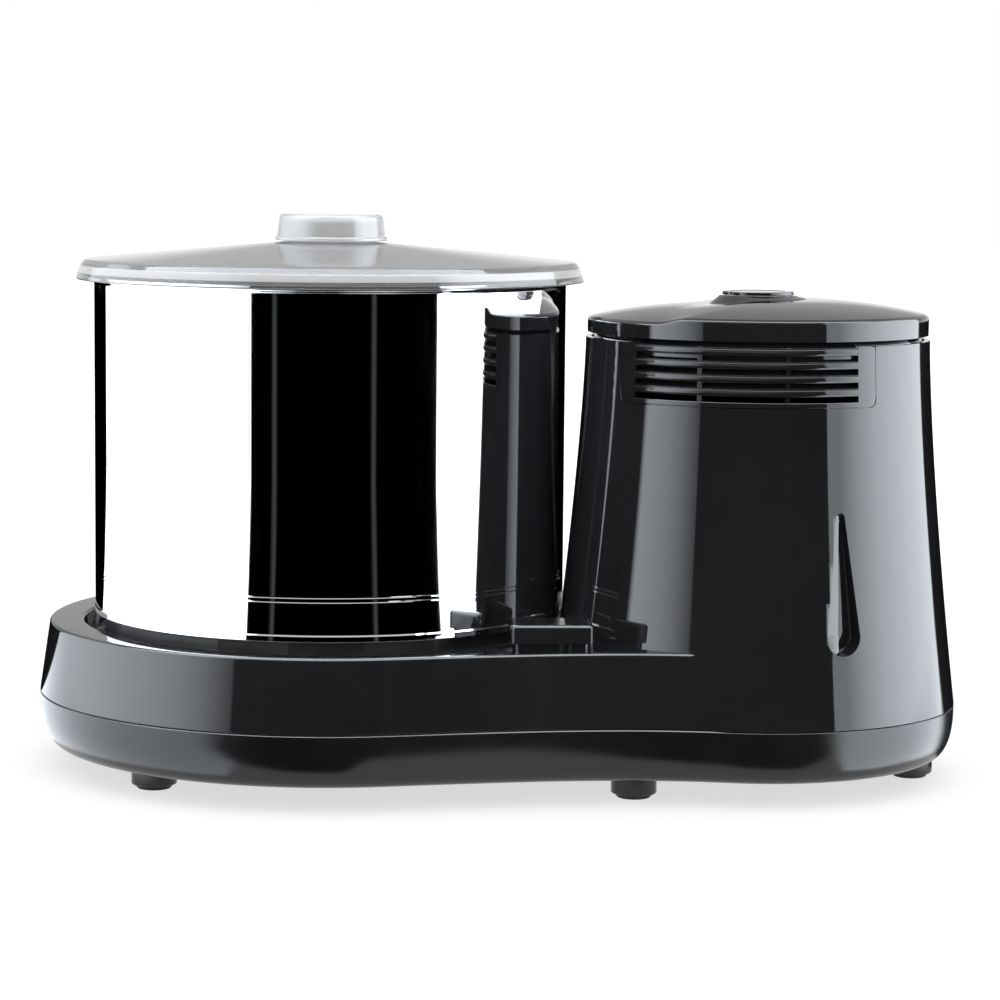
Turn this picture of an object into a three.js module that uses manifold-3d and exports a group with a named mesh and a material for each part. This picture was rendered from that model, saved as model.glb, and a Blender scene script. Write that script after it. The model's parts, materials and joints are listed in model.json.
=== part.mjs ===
// Tabletop wet grinder: a steel drum with a granite floor and two roller stones, on a moulded base
// whose motor stands in a tower beside the drum.
// Millimetres, +Z up. The long side runs along X with the tower at +X, and the front faces -Y.
import * as THREE from 'three';
import { mergeVertices } from 'three/addons/utils/BufferGeometryUtils.js';
import Module from 'manifold-3d';

const wasm = await Module();
wasm.setup();

// Fits and running clearances.
const seatGap = 0.3;
const runningGap = 0.6;
const cutOverrun = 2;

// Facets round a full turn.
const wideFacets = 40;
const towerFacets = 32;
const middleFacets = 20;
const hiddenFacets = 16;
const smallFacets = 12;

// Straight runs along each curve of the base's outline.
const drumArcDivisions = 9;
const endArcDivisions = 2;
const waistDivisions = 6;
const towerArcDivisions = 9;

// Heights above the table, each from the one below it.
const panBottomHeight = 10.6;
const panDepth = 25.4;
const skirtHeight = 33.7;
const towerRise = 137.8;
const wellDepth = 11.7;
const drumStandOff = 3.3;
const drumHeight = 161;
const seamHeight = panBottomHeight + panDepth;
const deckHeight = seamHeight + skirtHeight;
const towerTopHeight = deckHeight + towerRise;
const wellFloorHeight = deckHeight - wellDepth;
const drumFootHeight = deckHeight + drumStandOff;
const drumRimHeight = drumFootHeight + drumHeight;

const mouldedWall = 2.6;
const wallLean = 5;
const deckEdgeRound = 1.2;

// The drum, its granite floor and the well that it stands in.
const drumRadius = 112.5;
const drumWall = 1.2;
const drumFloorWall = 1.5;
const drumFootFlange = 0.7;
const drumFootBand = 3.4;
const drumBead = 1.9;
const grooveRise = 18.6;
const grooveWidth = 2;
const grooveDepth = 0.6;
const stoneThickness = 26.2;
const stoneFloorHeight = drumFootHeight + drumFloorWall + seatGap + stoneThickness;
const drumToWellGap = 4.9;
const wellRadius = drumRadius + drumToWellGap;
const drumToTowerGap = 1.2;

// The base seen from above: an arc round the drum, an arc round the tower and a waist between them.
const deckMargin = 21.6;
const baseDrumRadius = wellRadius + deckMargin;
const baseTowerRadius = 96;
const wellToTowerOverlap = 9.4;
const axisDistance = wellRadius + baseTowerRadius - wellToTowerOverlap;
const waistDrumAngle = THREE.MathUtils.degToRad(20);
const waistTowerAngle = THREE.MathUtils.degToRad(3);
const waistDrumReach = 62;
const waistTowerReach = 50;
const towerDraw = 15.2;
const towerTopRadius = baseTowerRadius - towerDraw;
const towerFlareShare = 1.38;
const towerTuck = 1.2;

// The centre of the drum, from the fixed shaft outwards.
const shaftRadius = 5;
const spindleRadius = 9;
const tubeRadius = 13;
const sleeveRadius = 17.5;
const tubeRise = 59;
const shaftRise = 40;
const spindleRise = 24;
const shaftSquare = 7.2;
const shaftSquareLength = 14;
const shaftSquareCorner = 0.9;
const tubeTopHeight = stoneFloorHeight + tubeRise;
const shaftTopHeight = tubeTopHeight + shaftRise;
const spindleTopHeight = wellFloorHeight + spindleRise;

const length = baseDrumRadius + axisDistance + baseTowerRadius;
const drumX = baseDrumRadius - length / 2;
const towerX = drumX + axisDistance;

const materials = {
  glossBlack: new THREE.MeshStandardMaterial({ color: 0x141416, roughness: 0.12, metalness: 0 }),
  panBlack: new THREE.MeshStandardMaterial({ color: 0x2b2c31, roughness: 0.38, metalness: 0 }),
  rubber: new THREE.MeshStandardMaterial({ color: 0x1b1b1c, roughness: 0.85, metalness: 0 }),
  polishedSteel: new THREE.MeshStandardMaterial({ color: 0xe6e7e8, roughness: 0.05, metalness: 1 }),
  steel: new THREE.MeshStandardMaterial({ color: 0x9a9da1, roughness: 0.35, metalness: 1 }),
  lamination: new THREE.MeshStandardMaterial({ color: 0x5c6066, roughness: 0.5, metalness: 1 }),
  castAluminium: new THREE.MeshStandardMaterial({ color: 0xb4b6b8, roughness: 0.5, metalness: 1 }),
  copper: new THREE.MeshStandardMaterial({ color: 0xa85a32, roughness: 0.4, metalness: 1 }),
  granite: new THREE.MeshStandardMaterial({ color: 0x55575a, roughness: 0.75, metalness: 0 }),
  clear: new THREE.MeshStandardMaterial({ color: 0xdfe3e6, roughness: 0.08, metalness: 0 }),
  nylon: new THREE.MeshStandardMaterial({ color: 0xe9e6dc, roughness: 0.5, metalness: 0 }),
  drumMoulding: new THREE.MeshStandardMaterial({ color: 0x26272a, roughness: 0.5, metalness: 0 }),
};

// Turns a closed three.js geometry into a solid that can be cut and joined.
function solidOf(geometry) {
  const source = geometry.index ? geometry.toNonIndexed() : geometry;
  const bare = new THREE.BufferGeometry().setAttribute('position', source.getAttribute('position'));
  const merged = mergeVertices(bare, 1e-4);
  const corners = [];
  for (let i = 0; i < merged.index.count; i += 3) {
    const [a, b, c] = [0, 1, 2].map((k) => merged.index.getX(i + k));
    if (a !== b && b !== c && c !== a) corners.push(a, b, c);
  }
  return new wasm.Manifold(
    new wasm.Mesh({
      numProp: 3,
      vertProperties: merged.attributes.position.array,
      triVerts: new Uint32Array(corners),
    }),
  );
}

function geometryOf(solid) {
  const mesh = solid.getMesh();
  const geometry = new THREE.BufferGeometry();
  const step = mesh.numProp;
  const points = new Float32Array(mesh.numVert * 3);
  for (let i = 0; i < mesh.numVert; i++) {
    points.set(mesh.vertProperties.subarray(i * step, i * step + 3), i * 3);
  }
  geometry.setAttribute('position', new THREE.BufferAttribute(points, 3));
  geometry.setIndex(new THREE.BufferAttribute(mesh.triVerts, 1));
  const flat = geometry.toNonIndexed();
  flat.computeVertexNormals();
  return flat;
}

function joined(solids) {
  return solids.reduce((whole, next) => whole.add(next));
}

function cut(solid, tools) {
  return tools.reduce((rest, tool) => rest.subtract(tool), solid);
}

function moved(geometry, x, y, z) {
  return geometry.translate(x, y, z);
}

// A profile of [radius, height] pairs, listed anticlockwise, turned round the Z axis.
function turned(profile, facets, x = 0, y = 0) {
  const points = profile.map(([radius, height]) => new THREE.Vector2(radius, height));
  const closed = profile[0][0] === 0 && profile[profile.length - 1][0] === 0;
  if (!closed) points.push(points[0].clone());
  return solidOf(moved(new THREE.LatheGeometry(points, facets).rotateX(Math.PI / 2), x, y, 0));
}

function disc(radius, bottom, top, facets, x = 0, y = 0) {
  return turned([[0, bottom], [radius, bottom], [radius, top], [0, top]], facets, x, y);
}

function ring(inner, outer, bottom, top, facets, x = 0, y = 0) {
  return turned([[inner, bottom], [outer, bottom], [outer, top], [inner, top]], facets, x, y);
}

// An outline in the XY plane raised from one height to another.
function raised(shape, bottom, top, curveSegments = 8) {
  const geometry = new THREE.ExtrudeGeometry(shape, {
    depth: top - bottom,
    bevelEnabled: false,
    curveSegments,
  });
  return solidOf(moved(geometry, 0, 0, bottom));
}

function roundedBox(width, depth, corner) {
  const shape = new THREE.Shape();
  const [w, d] = [width / 2, depth / 2];
  shape.moveTo(corner - w, -d);
  shape.lineTo(w - corner, -d);
  shape.absarc(w - corner, corner - d, corner, -Math.PI / 2, 0);
  shape.lineTo(w, d - corner);
  shape.absarc(w - corner, d - corner, corner, 0, Math.PI / 2);
  shape.lineTo(corner - w, d);
  shape.absarc(corner - w, d - corner, corner, Math.PI / 2, Math.PI);
  shape.lineTo(-w, corner - d);
  shape.absarc(corner - w, corner - d, corner, Math.PI, 1.5 * Math.PI);
  return shape;
}

// A pie slice about the Z axis, centred on a direction, used to take a sector out of a turned shape.
function wedge(radius, bottom, top, direction, halfAngle, x = 0, y = 0) {
  const shape = new THREE.Shape();
  shape.moveTo(0, 0);
  const reach = radius / Math.cos(halfAngle / 2);
  for (const share of [-1, -0.5, 0, 0.5, 1]) {
    const angle = direction + share * halfAngle;
    shape.lineTo(reach * Math.cos(angle), reach * Math.sin(angle));
  }
  const geometry = new THREE.ExtrudeGeometry(shape, { depth: top - bottom, bevelEnabled: false });
  return solidOf(moved(geometry, x, y, bottom));
}

// Rings of points with the same count, one above the other, joined and capped into a solid.
function lofted(rings) {
  const count = rings[0].length;
  const points = rings.flat().flatMap((p) => [p.x, p.y, p.z]);
  const faces = [];
  for (let level = 0; level < rings.length - 1; level++) {
    for (let i = 0; i < count; i++) {
      const next = (i + 1) % count;
      const [a, b] = [level * count + i, level * count + next];
      faces.push(a, b, b + count, a, b + count, a + count);
    }
  }
  const cap = (ringPoints, first, up) => {
    const flat = ringPoints.map((p) => new THREE.Vector2(p.x, p.y));
    for (const [a, b, c] of THREE.ShapeUtils.triangulateShape(flat, [])) {
      if (up) faces.push(first + a, first + b, first + c);
      else faces.push(first + a, first + c, first + b);
    }
  };
  cap(rings[0], 0, false);
  cap(rings[rings.length - 1], (rings.length - 1) * count, true);
  const geometry = new THREE.BufferGeometry();
  geometry.setAttribute('position', new THREE.Float32BufferAttribute(points, 3));
  geometry.setIndex(faces);
  return solidOf(geometry);
}

// The front waist of the base, from the drum's arc to the tower's.
function waistCurve(towerRadius) {
  const drumEnd = Math.PI * 1.5 + waistDrumAngle;
  const towerStart = Math.PI * 1.5 - waistTowerAngle;
  const leave = new THREE.Vector2(
    drumX + baseDrumRadius * Math.cos(drumEnd),
    baseDrumRadius * Math.sin(drumEnd),
  );
  const arrive = new THREE.Vector2(
    towerX + towerRadius * Math.cos(towerStart),
    towerRadius * Math.sin(towerStart),
  );
  const drumPull = new THREE.Vector2(
    leave.x + waistDrumReach * Math.cos(waistDrumAngle),
    leave.y + waistDrumReach * Math.sin(waistDrumAngle),
  );
  const towerPull = new THREE.Vector2(
    arrive.x - waistTowerReach * Math.cos(waistTowerAngle),
    arrive.y + waistTowerReach * Math.sin(waistTowerAngle),
  );
  return new THREE.CubicBezierCurve(leave, drumPull, towerPull, arrive);
}

// The outline of the base at the seam, anticlockwise, as points. The tower arc can be tucked in a little so
// that the tower's own turned wall covers it.
function basePlan(towerRadius) {
  const widest = Math.PI * 1.5;
  const arc = (x, radius, from, to) => new THREE.EllipseCurve(x, 0, radius, radius, from, to);
  const curves = [
    [arc(drumX, baseDrumRadius, Math.PI, widest), drumArcDivisions],
    [arc(drumX, baseDrumRadius, widest, widest + waistDrumAngle), endArcDivisions],
    [waistCurve(towerRadius), waistDivisions],
    [arc(towerX, towerRadius, widest - waistTowerAngle, widest), 1],
    [arc(towerX, towerRadius, widest, Math.PI * 2), towerArcDivisions],
  ];
  const points = curves.flatMap(([curve, divisions]) => curve.getPoints(divisions));
  const half = points.filter((p, i) => i === 0 || p.distanceTo(points[i - 1]) > seatGap);
  const back = half.slice(1, -1).reverse().map((p) => new THREE.Vector2(p.x, -p.y));
  return [...half, ...back];
}

// The same outline drawn in by a distance, at a height.
function insetRing(plan, inset, height) {
  return plan.map((point, i) => {
    const before = plan[(i + plan.length - 1) % plan.length];
    const after = plan[(i + 1) % plan.length];
    const along = after.clone().sub(before).normalize();
    return new THREE.Vector3(point.x - along.y * inset, point.y + along.x * inset, height);
  });
}

// Levels of the tower's wall, as shares of its height, with straight runs between them.
const towerLevelShares = [0, 0.25, 0.5, 0.75, 1];
const towerLevels = towerLevelShares.map((share) => ({
  height: THREE.MathUtils.lerp(seamHeight, towerTopHeight, share),
  radius: towerTopRadius + (baseTowerRadius - towerTopRadius) * (1 - share) ** towerFlareShare,
}));

// The tower's outer radius at a height: it flares towards the base.
function towerRadiusAt(height) {
  if (height >= towerTopHeight) return towerTopRadius;
  const above = towerLevels.findIndex((level, i) => i > 0 && level.height > height);
  const [low, high] = [towerLevels[above - 1], towerLevels[above]];
  const share = (height - low.height) / (high.height - low.height);
  return THREE.MathUtils.lerp(low.radius, high.radius, share);
}

function towerSolid(inset, bottom, top) {
  const inside = towerLevels.map((level) => level.height).filter((z) => z > bottom && z < top);
  const wall = [bottom, ...inside, top].map((z) => [towerRadiusAt(z) - inset, z]);
  return turned([[0, bottom], ...wall, [0, top]], towerFacets, towerX);
}

const root = new THREE.Group();
const drumSide = new THREE.Group();
const towerSide = new THREE.Group();
drumSide.position.x = drumX;
towerSide.position.x = towerX;
root.add(drumSide, towerSide);

function addPiece(parent, name, solid, material) {
  const mesh = new THREE.Mesh(geometryOf(solid), material);
  mesh.name = name;
  parent.add(mesh);
  return mesh;
}

// Feet, each in a moulded collar of the pan: how far they stand in from the base's arcs, and at what angles.
const footCollarRadius = 10.5;
const footCollarHeight = 3.6;
const footPadRadius = 8.2;
const footPadChamfer = 0.8;
const leftFootInset = 29.4;
const middleFootInset = 9.2;
const endFootInset = 20;
const leftFootAngle = THREE.MathUtils.degToRad(127.4);
const middleFootAngle = THREE.MathUtils.degToRad(125.2);

function footPlace(axis, distance, angle) {
  return [axis + distance * Math.cos(angle), distance * Math.sin(angle)];
}

const leftFoot = footPlace(drumX, baseDrumRadius - leftFootInset, leftFootAngle);
const middleFoot = footPlace(towerX, baseTowerRadius - middleFootInset, middleFootAngle);
const feet = [
  ['foot_front_left', leftFoot[0], -leftFoot[1]],
  ['foot_back_left', leftFoot[0], leftFoot[1]],
  ['foot_front_middle', middleFoot[0], -middleFoot[1]],
  ['foot_back_middle', middleFoot[0], middleFoot[1]],
  ['foot_end', towerX + baseTowerRadius - endFootInset, 0],
];

function footPad() {
  const top = footCollarHeight - seatGap;
  return turned(
    [
      [0, 0],
      [footPadRadius - footPadChamfer, 0],
      [footPadRadius, footPadChamfer],
      [footPadRadius, top],
      [0, top],
    ],
    smallFacets,
  );
}

// Bottom pan: a rounded tub with collars for the feet, posts for the motor plate and a seat for the shaft.
const panBottomInset = 12;
const panOuterShares = [[0, 1], [0.09, 0.5], [0.36, 0.13], [1, 0]];
const panInnerShares = [[0, 1], [0.2, 0.28], [1, 0]];
const motorPlateRise = 10;
const motorPlateHeight = seamHeight + motorPlateRise;
const motorPostRadius = 6;
const motorPostX = 48;
const motorPostY = 42;

function bottomPan() {
  const plan = basePlan(baseTowerRadius);
  const top = seamHeight - seatGap;
  const levels = (shares, inset, low, high) =>
    shares.map(([rise, draw]) => insetRing(plan, inset + draw * panBottomInset, low + rise * (high - low)));
  const inner = levels(panInnerShares, mouldedWall, panBottomHeight + mouldedWall, top + cutOverrun);
  let pan = lofted(levels(panOuterShares, 0, panBottomHeight, top)).subtract(lofted(inner));
  const floor = panBottomHeight + mouldedWall;
  for (const [, x, y] of feet) {
    pan = pan.add(disc(footCollarRadius, footCollarHeight, floor, smallFacets, x, y));
  }
  for (const [sideX, sideY] of [[-1, -1], [1, -1], [-1, 1], [1, 1]]) {
    const [x, y] = [towerX + sideX * motorPostX, sideY * motorPostY];
    const foot = panBottomHeight + mouldedWall / 2;
    pan = pan.add(disc(motorPostRadius, foot, motorPlateHeight - seatGap, smallFacets, x, y));
  }
  return pan;
}

// Round clearance for the drum, cut out of the tower's wall, and the same shape grown by a wall.
function scoop(grow) {
  const radius = drumRadius + drumFootFlange + drumToTowerGap + grow;
  return disc(radius, deckHeight - mouldedWall * 2, towerTopHeight + cutOverrun, wideFacets, drumX);
}

// Vent windows of the tower, front and back: notches open at the top, closed by louvred inserts that drop in.
const ventHalfAngle = THREE.MathUtils.degToRad(45.6);
const ventSlotHalfAngle = THREE.MathUtils.degToRad(38.4);
const ventUprightAngle = THREE.MathUtils.degToRad(14.3);
const ventUprightHalfAngle = THREE.MathUtils.degToRad(0.8);
const ventUprightDepth = 1.9;
const ventTurn = THREE.MathUtils.degToRad(2);
const ventPanelHeight = 27.5;
const ventSill = 2.7;
const ventTopMargin = 0.4;
const ventSlotOpening = 2.6;
const ventSlotCount = 4;
const ventBottomHeight = towerTopHeight - ventPanelHeight;
const ventSlotBottomHeight = ventBottomHeight + ventSill;
const ventSlotPitch = (ventPanelHeight - ventSill - ventTopMargin) / ventSlotCount;
const ventSeatDepth = 1.5;
const ventSlatDepth = 2.3;
const ventSlatProud = 0.9;
const ventSlatLip = 0.4;
const ventLedge = 1.4;
const ventDirections = { front: -Math.PI / 2 - ventTurn, back: Math.PI / 2 + ventTurn };

function ventSector(direction, halfAngle, bottom, top) {
  return wedge(baseTowerRadius, bottom, top, direction, halfAngle, towerX);
}

function ventSkin(proud, depth, bottom, top) {
  return towerSolid(-proud, bottom, top).subtract(towerSolid(depth, bottom - cutOverrun, top + cutOverrun));
}

function ventWindow(direction) {
  const top = towerTopHeight + cutOverrun;
  const low = ventSlotBottomHeight - ventLedge;
  const reach = ventSlotHalfAngle + ventUprightHalfAngle;
  const seat = ventSkin(cutOverrun, ventSeatDepth, ventBottomHeight, top);
  const through = ventSkin(cutOverrun, mouldedWall + cutOverrun, low, top);
  return seat
    .intersect(ventSector(direction, ventHalfAngle, ventBottomHeight, top))
    .add(through.intersect(ventSector(direction, reach, low, top)));
}

function ventGrille(direction) {
  const low = ventBottomHeight + seatGap;
  const high = towerTopHeight - seatGap;
  const edge = ventHalfAngle - seatGap / towerTopRadius;
  const slotTop = ventSlotBottomHeight + ventSlotCount * ventSlotPitch;
  const plate = ventSkin(0, ventSeatDepth - seatGap, low, high)
    .intersect(ventSector(direction, edge, low, high))
    .subtract(ventSector(direction, ventSlotHalfAngle, ventSlotBottomHeight, slotTop));
  const back = towerRadiusAt(slotTop) - ventSlatDepth;
  const uprights = [-1, 1].map((side) =>
    ring(
      back,
      back + ventUprightDepth,
      ventSlotBottomHeight - seatGap,
      slotTop,
      towerFacets,
      towerX,
    ).intersect(
      ventSector(direction + side * ventUprightAngle, ventUprightHalfAngle, low, high),
    ),
  );
  const slats = [];
  for (let row = 1; row <= ventSlotCount; row++) {
    const top = ventSlotBottomHeight + row * ventSlotPitch;
    const bottom = top - (ventSlotPitch - ventSlotOpening);
    const outer = towerRadiusAt(top);
    slats.push(
      turned(
        [
          [outer - ventSlatDepth, bottom],
          [outer + ventSlatProud, bottom + ventSlatProud],
          [outer + ventSlatLip, top],
          [outer - ventSlatDepth, top],
        ],
        towerFacets,
        towerX,
      ),
    );
  }
  const field = ventSector(direction, ventSlotHalfAngle + ventUprightHalfAngle / 2, low, high);
  return joined([plate, joined(slats).intersect(field), ...uprights]);
}

// Grip recesses: drop-shaped finger pockets sunk square into the tower wall, front and back.
const gripAngle = THREE.MathUtils.degToRad(29);
const gripWidth = 17.5;
const gripSink = 0.7;
const gripLength = 65;
const gripBottomHeight = deckHeight - gripSink;
const gripTopHeight = gripBottomHeight + gripLength;
const gripDepth = 9;

function gripDrop(grow, depthInward) {
  const radius = gripWidth / 2 + grow;
  const centre = gripBottomHeight + gripWidth / 2;
  const tip = gripTopHeight + grow;
  const shape = new THREE.Shape();
  const lean = Math.acos(radius / (tip - centre));
  shape.moveTo(0, tip);
  shape.absarc(0, centre, radius, Math.PI / 2 + lean, Math.PI * 2.5 - lean);
  shape.lineTo(0, tip);
  const outerReach = baseTowerRadius + cutOverrun;
  const innerReach = towerRadiusAt(centre) - depthInward;
  const geometry = new THREE.ExtrudeGeometry(shape, {
    depth: outerReach - innerReach,
    bevelEnabled: false,
    curveSegments: 5,
  });
  geometry.rotateX(Math.PI / 2);
  geometry.translate(0, -innerReach, 0);
  return geometry;
}

function gripSolid(side, grow, depthInward) {
  const geometry = gripDrop(grow, depthInward);
  const turn = side < 0 ? gripAngle : Math.PI - gripAngle;
  geometry.rotateZ(turn);
  return solidOf(moved(geometry, towerX, 0, 0));
}

// Power switch: a pedestal moulded on the deck, a rocking paddle over it and the switch body under the deck.
const switchPlaceShare = 0.459;
const switchEdgeInset = 9.89;
const switchTurn = THREE.MathUtils.degToRad(10);
const paddleWidth = 38;
const paddleDepth = 25;
const paddleLift = 3.7;
const paddleHeight = 8.6;
const paddleRockHeight = 2.6;
const paddleWall = 1.4;
const paddleCorner = 3;
const paddleRound = 1;
const pedestalSideGap = 0.5;
const pedestalRockGap = 1.3;
const stemWidth = 10;
const stemDepth = 6;
const stemRockGap = 1.4;
const switchBodyWidth = 26;
const switchBodyDepth = 17;
const switchBodyHeight = 17;
const paddleSkirtHeight = deckHeight + paddleLift;
const paddleTopHeight = paddleSkirtHeight + paddleHeight;
const pedestalTopHeight = paddleTopHeight - 2 * paddleWall - paddleRockHeight;
const deckUnderside = deckHeight - mouldedWall;

// The switch stands behind a point of the waist, drawn in by its inset and by half its own depth.
const waistPoint = waistCurve(baseTowerRadius).getPoint(switchPlaceShare);
const switchReach = switchEdgeInset + paddleDepth / 2;
const switchCentreX = waistPoint.x - switchReach * Math.sin(switchTurn);
const switchCentreY = waistPoint.y + switchReach * Math.cos(switchTurn);

function atSwitch(shape, bottom, top) {
  const geometry = new THREE.ExtrudeGeometry(shape, {
    depth: top - bottom,
    bevelEnabled: false,
    curveSegments: 1,
  });
  geometry.rotateZ(switchTurn);
  return solidOf(moved(geometry, switchCentreX, switchCentreY, bottom));
}

function pedestal() {
  const inner = paddleWall + pedestalSideGap;
  return atSwitch(
    roundedBox(paddleWidth - 2 * inner, paddleDepth - 2 * (paddleWall + pedestalRockGap), paddleCorner),
    deckUnderside,
    pedestalTopHeight,
  );
}

function stemSlot() {
  return atSwitch(
    roundedBox(stemWidth + 2 * seatGap, stemDepth + 2 * stemRockGap, seatGap),
    deckUnderside - cutOverrun,
    pedestalTopHeight + cutOverrun,
  );
}

function powerPaddle() {
  const body = atSwitch(
    roundedBox(paddleWidth, paddleDepth, paddleCorner),
    paddleSkirtHeight,
    paddleTopHeight - paddleRound,
  );
  const crown = atSwitch(
    roundedBox(paddleWidth - 2 * paddleRound, paddleDepth - 2 * paddleRound, paddleCorner - paddleRound),
    paddleTopHeight - paddleRound,
    paddleTopHeight,
  );
  const hollow = atSwitch(
    roundedBox(paddleWidth - 2 * paddleWall, paddleDepth - 2 * paddleWall, paddleCorner - paddleWall),
    paddleSkirtHeight - cutOverrun,
    paddleTopHeight - 2 * paddleWall,
  );
  const stem = atSwitch(
    roundedBox(stemWidth, stemDepth, seatGap),
    deckUnderside + seatGap,
    paddleTopHeight - paddleWall,
  );
  return body.add(crown).subtract(hollow).add(stem);
}

// Cable gland in the back wall of the tower foot.
const glandRise = 16;
const glandHeight = seamHeight + glandRise;
const glandFlangeRadius = 8;
const glandFlangeThickness = 3;
const glandNeckRadius = 5.6;
const glandBoreRadius = 3.4;
const glandInnerLength = 4;
const glandHoleReach = 10.4;

function alongY(profile, facets, x, y, z) {
  const points = profile.map(([radius, reach]) => new THREE.Vector2(radius, reach));
  points.push(points[0].clone());
  const geometry = new THREE.LatheGeometry(points, facets);
  return solidOf(moved(geometry, x, y, z));
}

const glandWallY = towerRadiusAt(glandHeight + glandNeckRadius);

function cableGland() {
  const seatOut = towerRadiusAt(glandHeight - glandFlangeRadius) - glandWallY + seatGap;
  const seatIn = -mouldedWall - seatGap - seatGap;
  return alongY(
    [
      [glandBoreRadius, seatIn - glandInnerLength],
      [glandFlangeRadius, seatIn - glandInnerLength],
      [glandFlangeRadius, seatIn],
      [glandNeckRadius, seatIn],
      [glandNeckRadius, seatOut],
      [glandFlangeRadius, seatOut],
      [glandFlangeRadius, seatOut + glandFlangeThickness],
      [glandBoreRadius, seatOut + glandFlangeThickness],
    ],
    smallFacets,
    towerX,
    glandWallY,
    glandHeight,
  );
}

function glandHole() {
  return alongY(
    [
      [0, -glandHoleReach],
      [glandNeckRadius + seatGap, -glandHoleReach],
      [glandNeckRadius + seatGap, glandHoleReach],
      [0, glandHoleReach],
    ],
    smallFacets,
    towerX,
    glandWallY,
    glandHeight,
  );
}

// Bearing housing sizes that the well floor also needs.
const bearingHousingRadius = 19;

// Base housing: deck, drum well and motor tower in one moulding, open below.
function baseHousing() {
  const plan = basePlan(baseTowerRadius - towerTuck);
  const outer = lofted([
    insetRing(plan, 0, seamHeight),
    insetRing(plan, wallLean, deckHeight - deckEdgeRound),
    insetRing(plan, wallLean + deckEdgeRound, deckHeight),
  ]);
  const inner = lofted([
    insetRing(plan, mouldedWall, seamHeight - cutOverrun),
    insetRing(plan, wallLean + mouldedWall, deckUnderside),
  ]);
  const wellSpace = disc(wellRadius, wellFloorHeight, deckHeight, wideFacets, drumX);
  const wellCup = disc(
    wellRadius + mouldedWall,
    wellFloorHeight - mouldedWall,
    deckHeight,
    wideFacets,
    drumX,
  );
  const towerOuter = towerSolid(0, seamHeight, towerTopHeight);
  const towerInner = towerSolid(mouldedWall, seamHeight - cutOverrun, towerTopHeight + cutOverrun);
  const solidShape = cut(outer.add(towerOuter), [scoop(0)]);
  const hollow = cut(inner.add(cut(towerInner, [scoop(mouldedWall)])), [wellCup, pedestal()]);
  let housing = solidShape.add(pedestal()).subtract(hollow);
  for (const side of [-1, 1]) {
    const lining = gripSolid(side, mouldedWall, gripDepth + mouldedWall).intersect(towerOuter);
    housing = housing.add(lining).subtract(gripSolid(side, 0, gripDepth));
  }
  const wellHole = disc(
    bearingHousingRadius + seatGap,
    wellFloorHeight - mouldedWall - cutOverrun,
    wellFloorHeight + cutOverrun,
    middleFacets,
    drumX,
  );
  return cut(housing, [
    wellSpace,
    wellHole,
    stemSlot(),
    glandHole(),
    ventWindow(ventDirections.front),
    ventWindow(ventDirections.back),
  ]);
}

addPiece(root, 'base_housing', baseHousing(), materials.glossBlack);
addPiece(root, 'bottom_pan', bottomPan(), materials.panBlack);
for (const [name, x, y] of feet) {
  addPiece(root, name, footPad(), materials.rubber).position.set(x, y, 0);
}
addPiece(root, 'vent_grille_front', ventGrille(ventDirections.front), materials.glossBlack);
addPiece(root, 'vent_grille_back', ventGrille(ventDirections.back), materials.glossBlack);
addPiece(root, 'power_paddle', powerPaddle(), materials.glossBlack);
addPiece(
  root,
  'power_switch_body',
  atSwitch(
    roundedBox(switchBodyWidth, switchBodyDepth, paddleRound),
    deckUnderside - seatGap - switchBodyHeight,
    deckUnderside - seatGap,
  ),
  materials.drumMoulding,
);
addPiece(root, 'cable_gland', cableGland(), materials.rubber);

// Tower lid: a shallow dome with a low boss, and the round cover that hides its screw. The crown stands a
// little higher on the side away from the drum, and steps up to it in its front and back edges.
const lidShadowGap = 2.3;
const lidSkirtHeight = 6.4;
const lidCrownRise = 7.2;
const lidBossRise = 4;
const lidInset = 0.7;
const lidCreaseRound = 2.2;
const lidSweepRise = 2.4;
const lidSweepAngle = THREE.MathUtils.degToRad(-27.5);
const lidSweepRimWidth = THREE.MathUtils.degToRad(5);
const lidSweepBossWidth = THREE.MathUtils.degToRad(40);
const lidBossRadius = 22.8;
const lidBossDraw = 4.8;
const lidCoverMargin = 1.2;
const lidCoverThickness = 1.6;
const lidCoverRound = 0.6;
const lidLipDepth = 6;
const lidWall = 2.4;
const lidRadius = towerTopRadius - lidInset;
const lidEdgeHeight = towerTopHeight + lidShadowGap;
const lidCreaseHeight = lidEdgeHeight + lidSkirtHeight;
const lidCrownHeight = lidCreaseHeight + lidCrownRise;
const lidBossHeight = lidCrownHeight + lidBossRise;
const lidBossTopRadius = lidBossRadius - lidBossDraw;
const lidCoverRadius = lidBossTopRadius - lidCoverMargin;

const crownLevelShares = [0, 1 / 3, 2 / 3, 1];

// How far a point of the lid's top is lifted: none towards the drum, the full rise away from it.
function lidLift(x, y, radius) {
  const share = THREE.MathUtils.clamp((lidRadius - radius) / (lidRadius - lidBossRadius), 0, 1);
  const width = THREE.MathUtils.lerp(lidSweepRimWidth, lidSweepBossWidth, share);
  const angle = Math.atan2(x, Math.abs(y));
  return lidSweepRise * THREE.MathUtils.smoothstep(angle, lidSweepAngle - width, lidSweepAngle + width);
}

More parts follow.
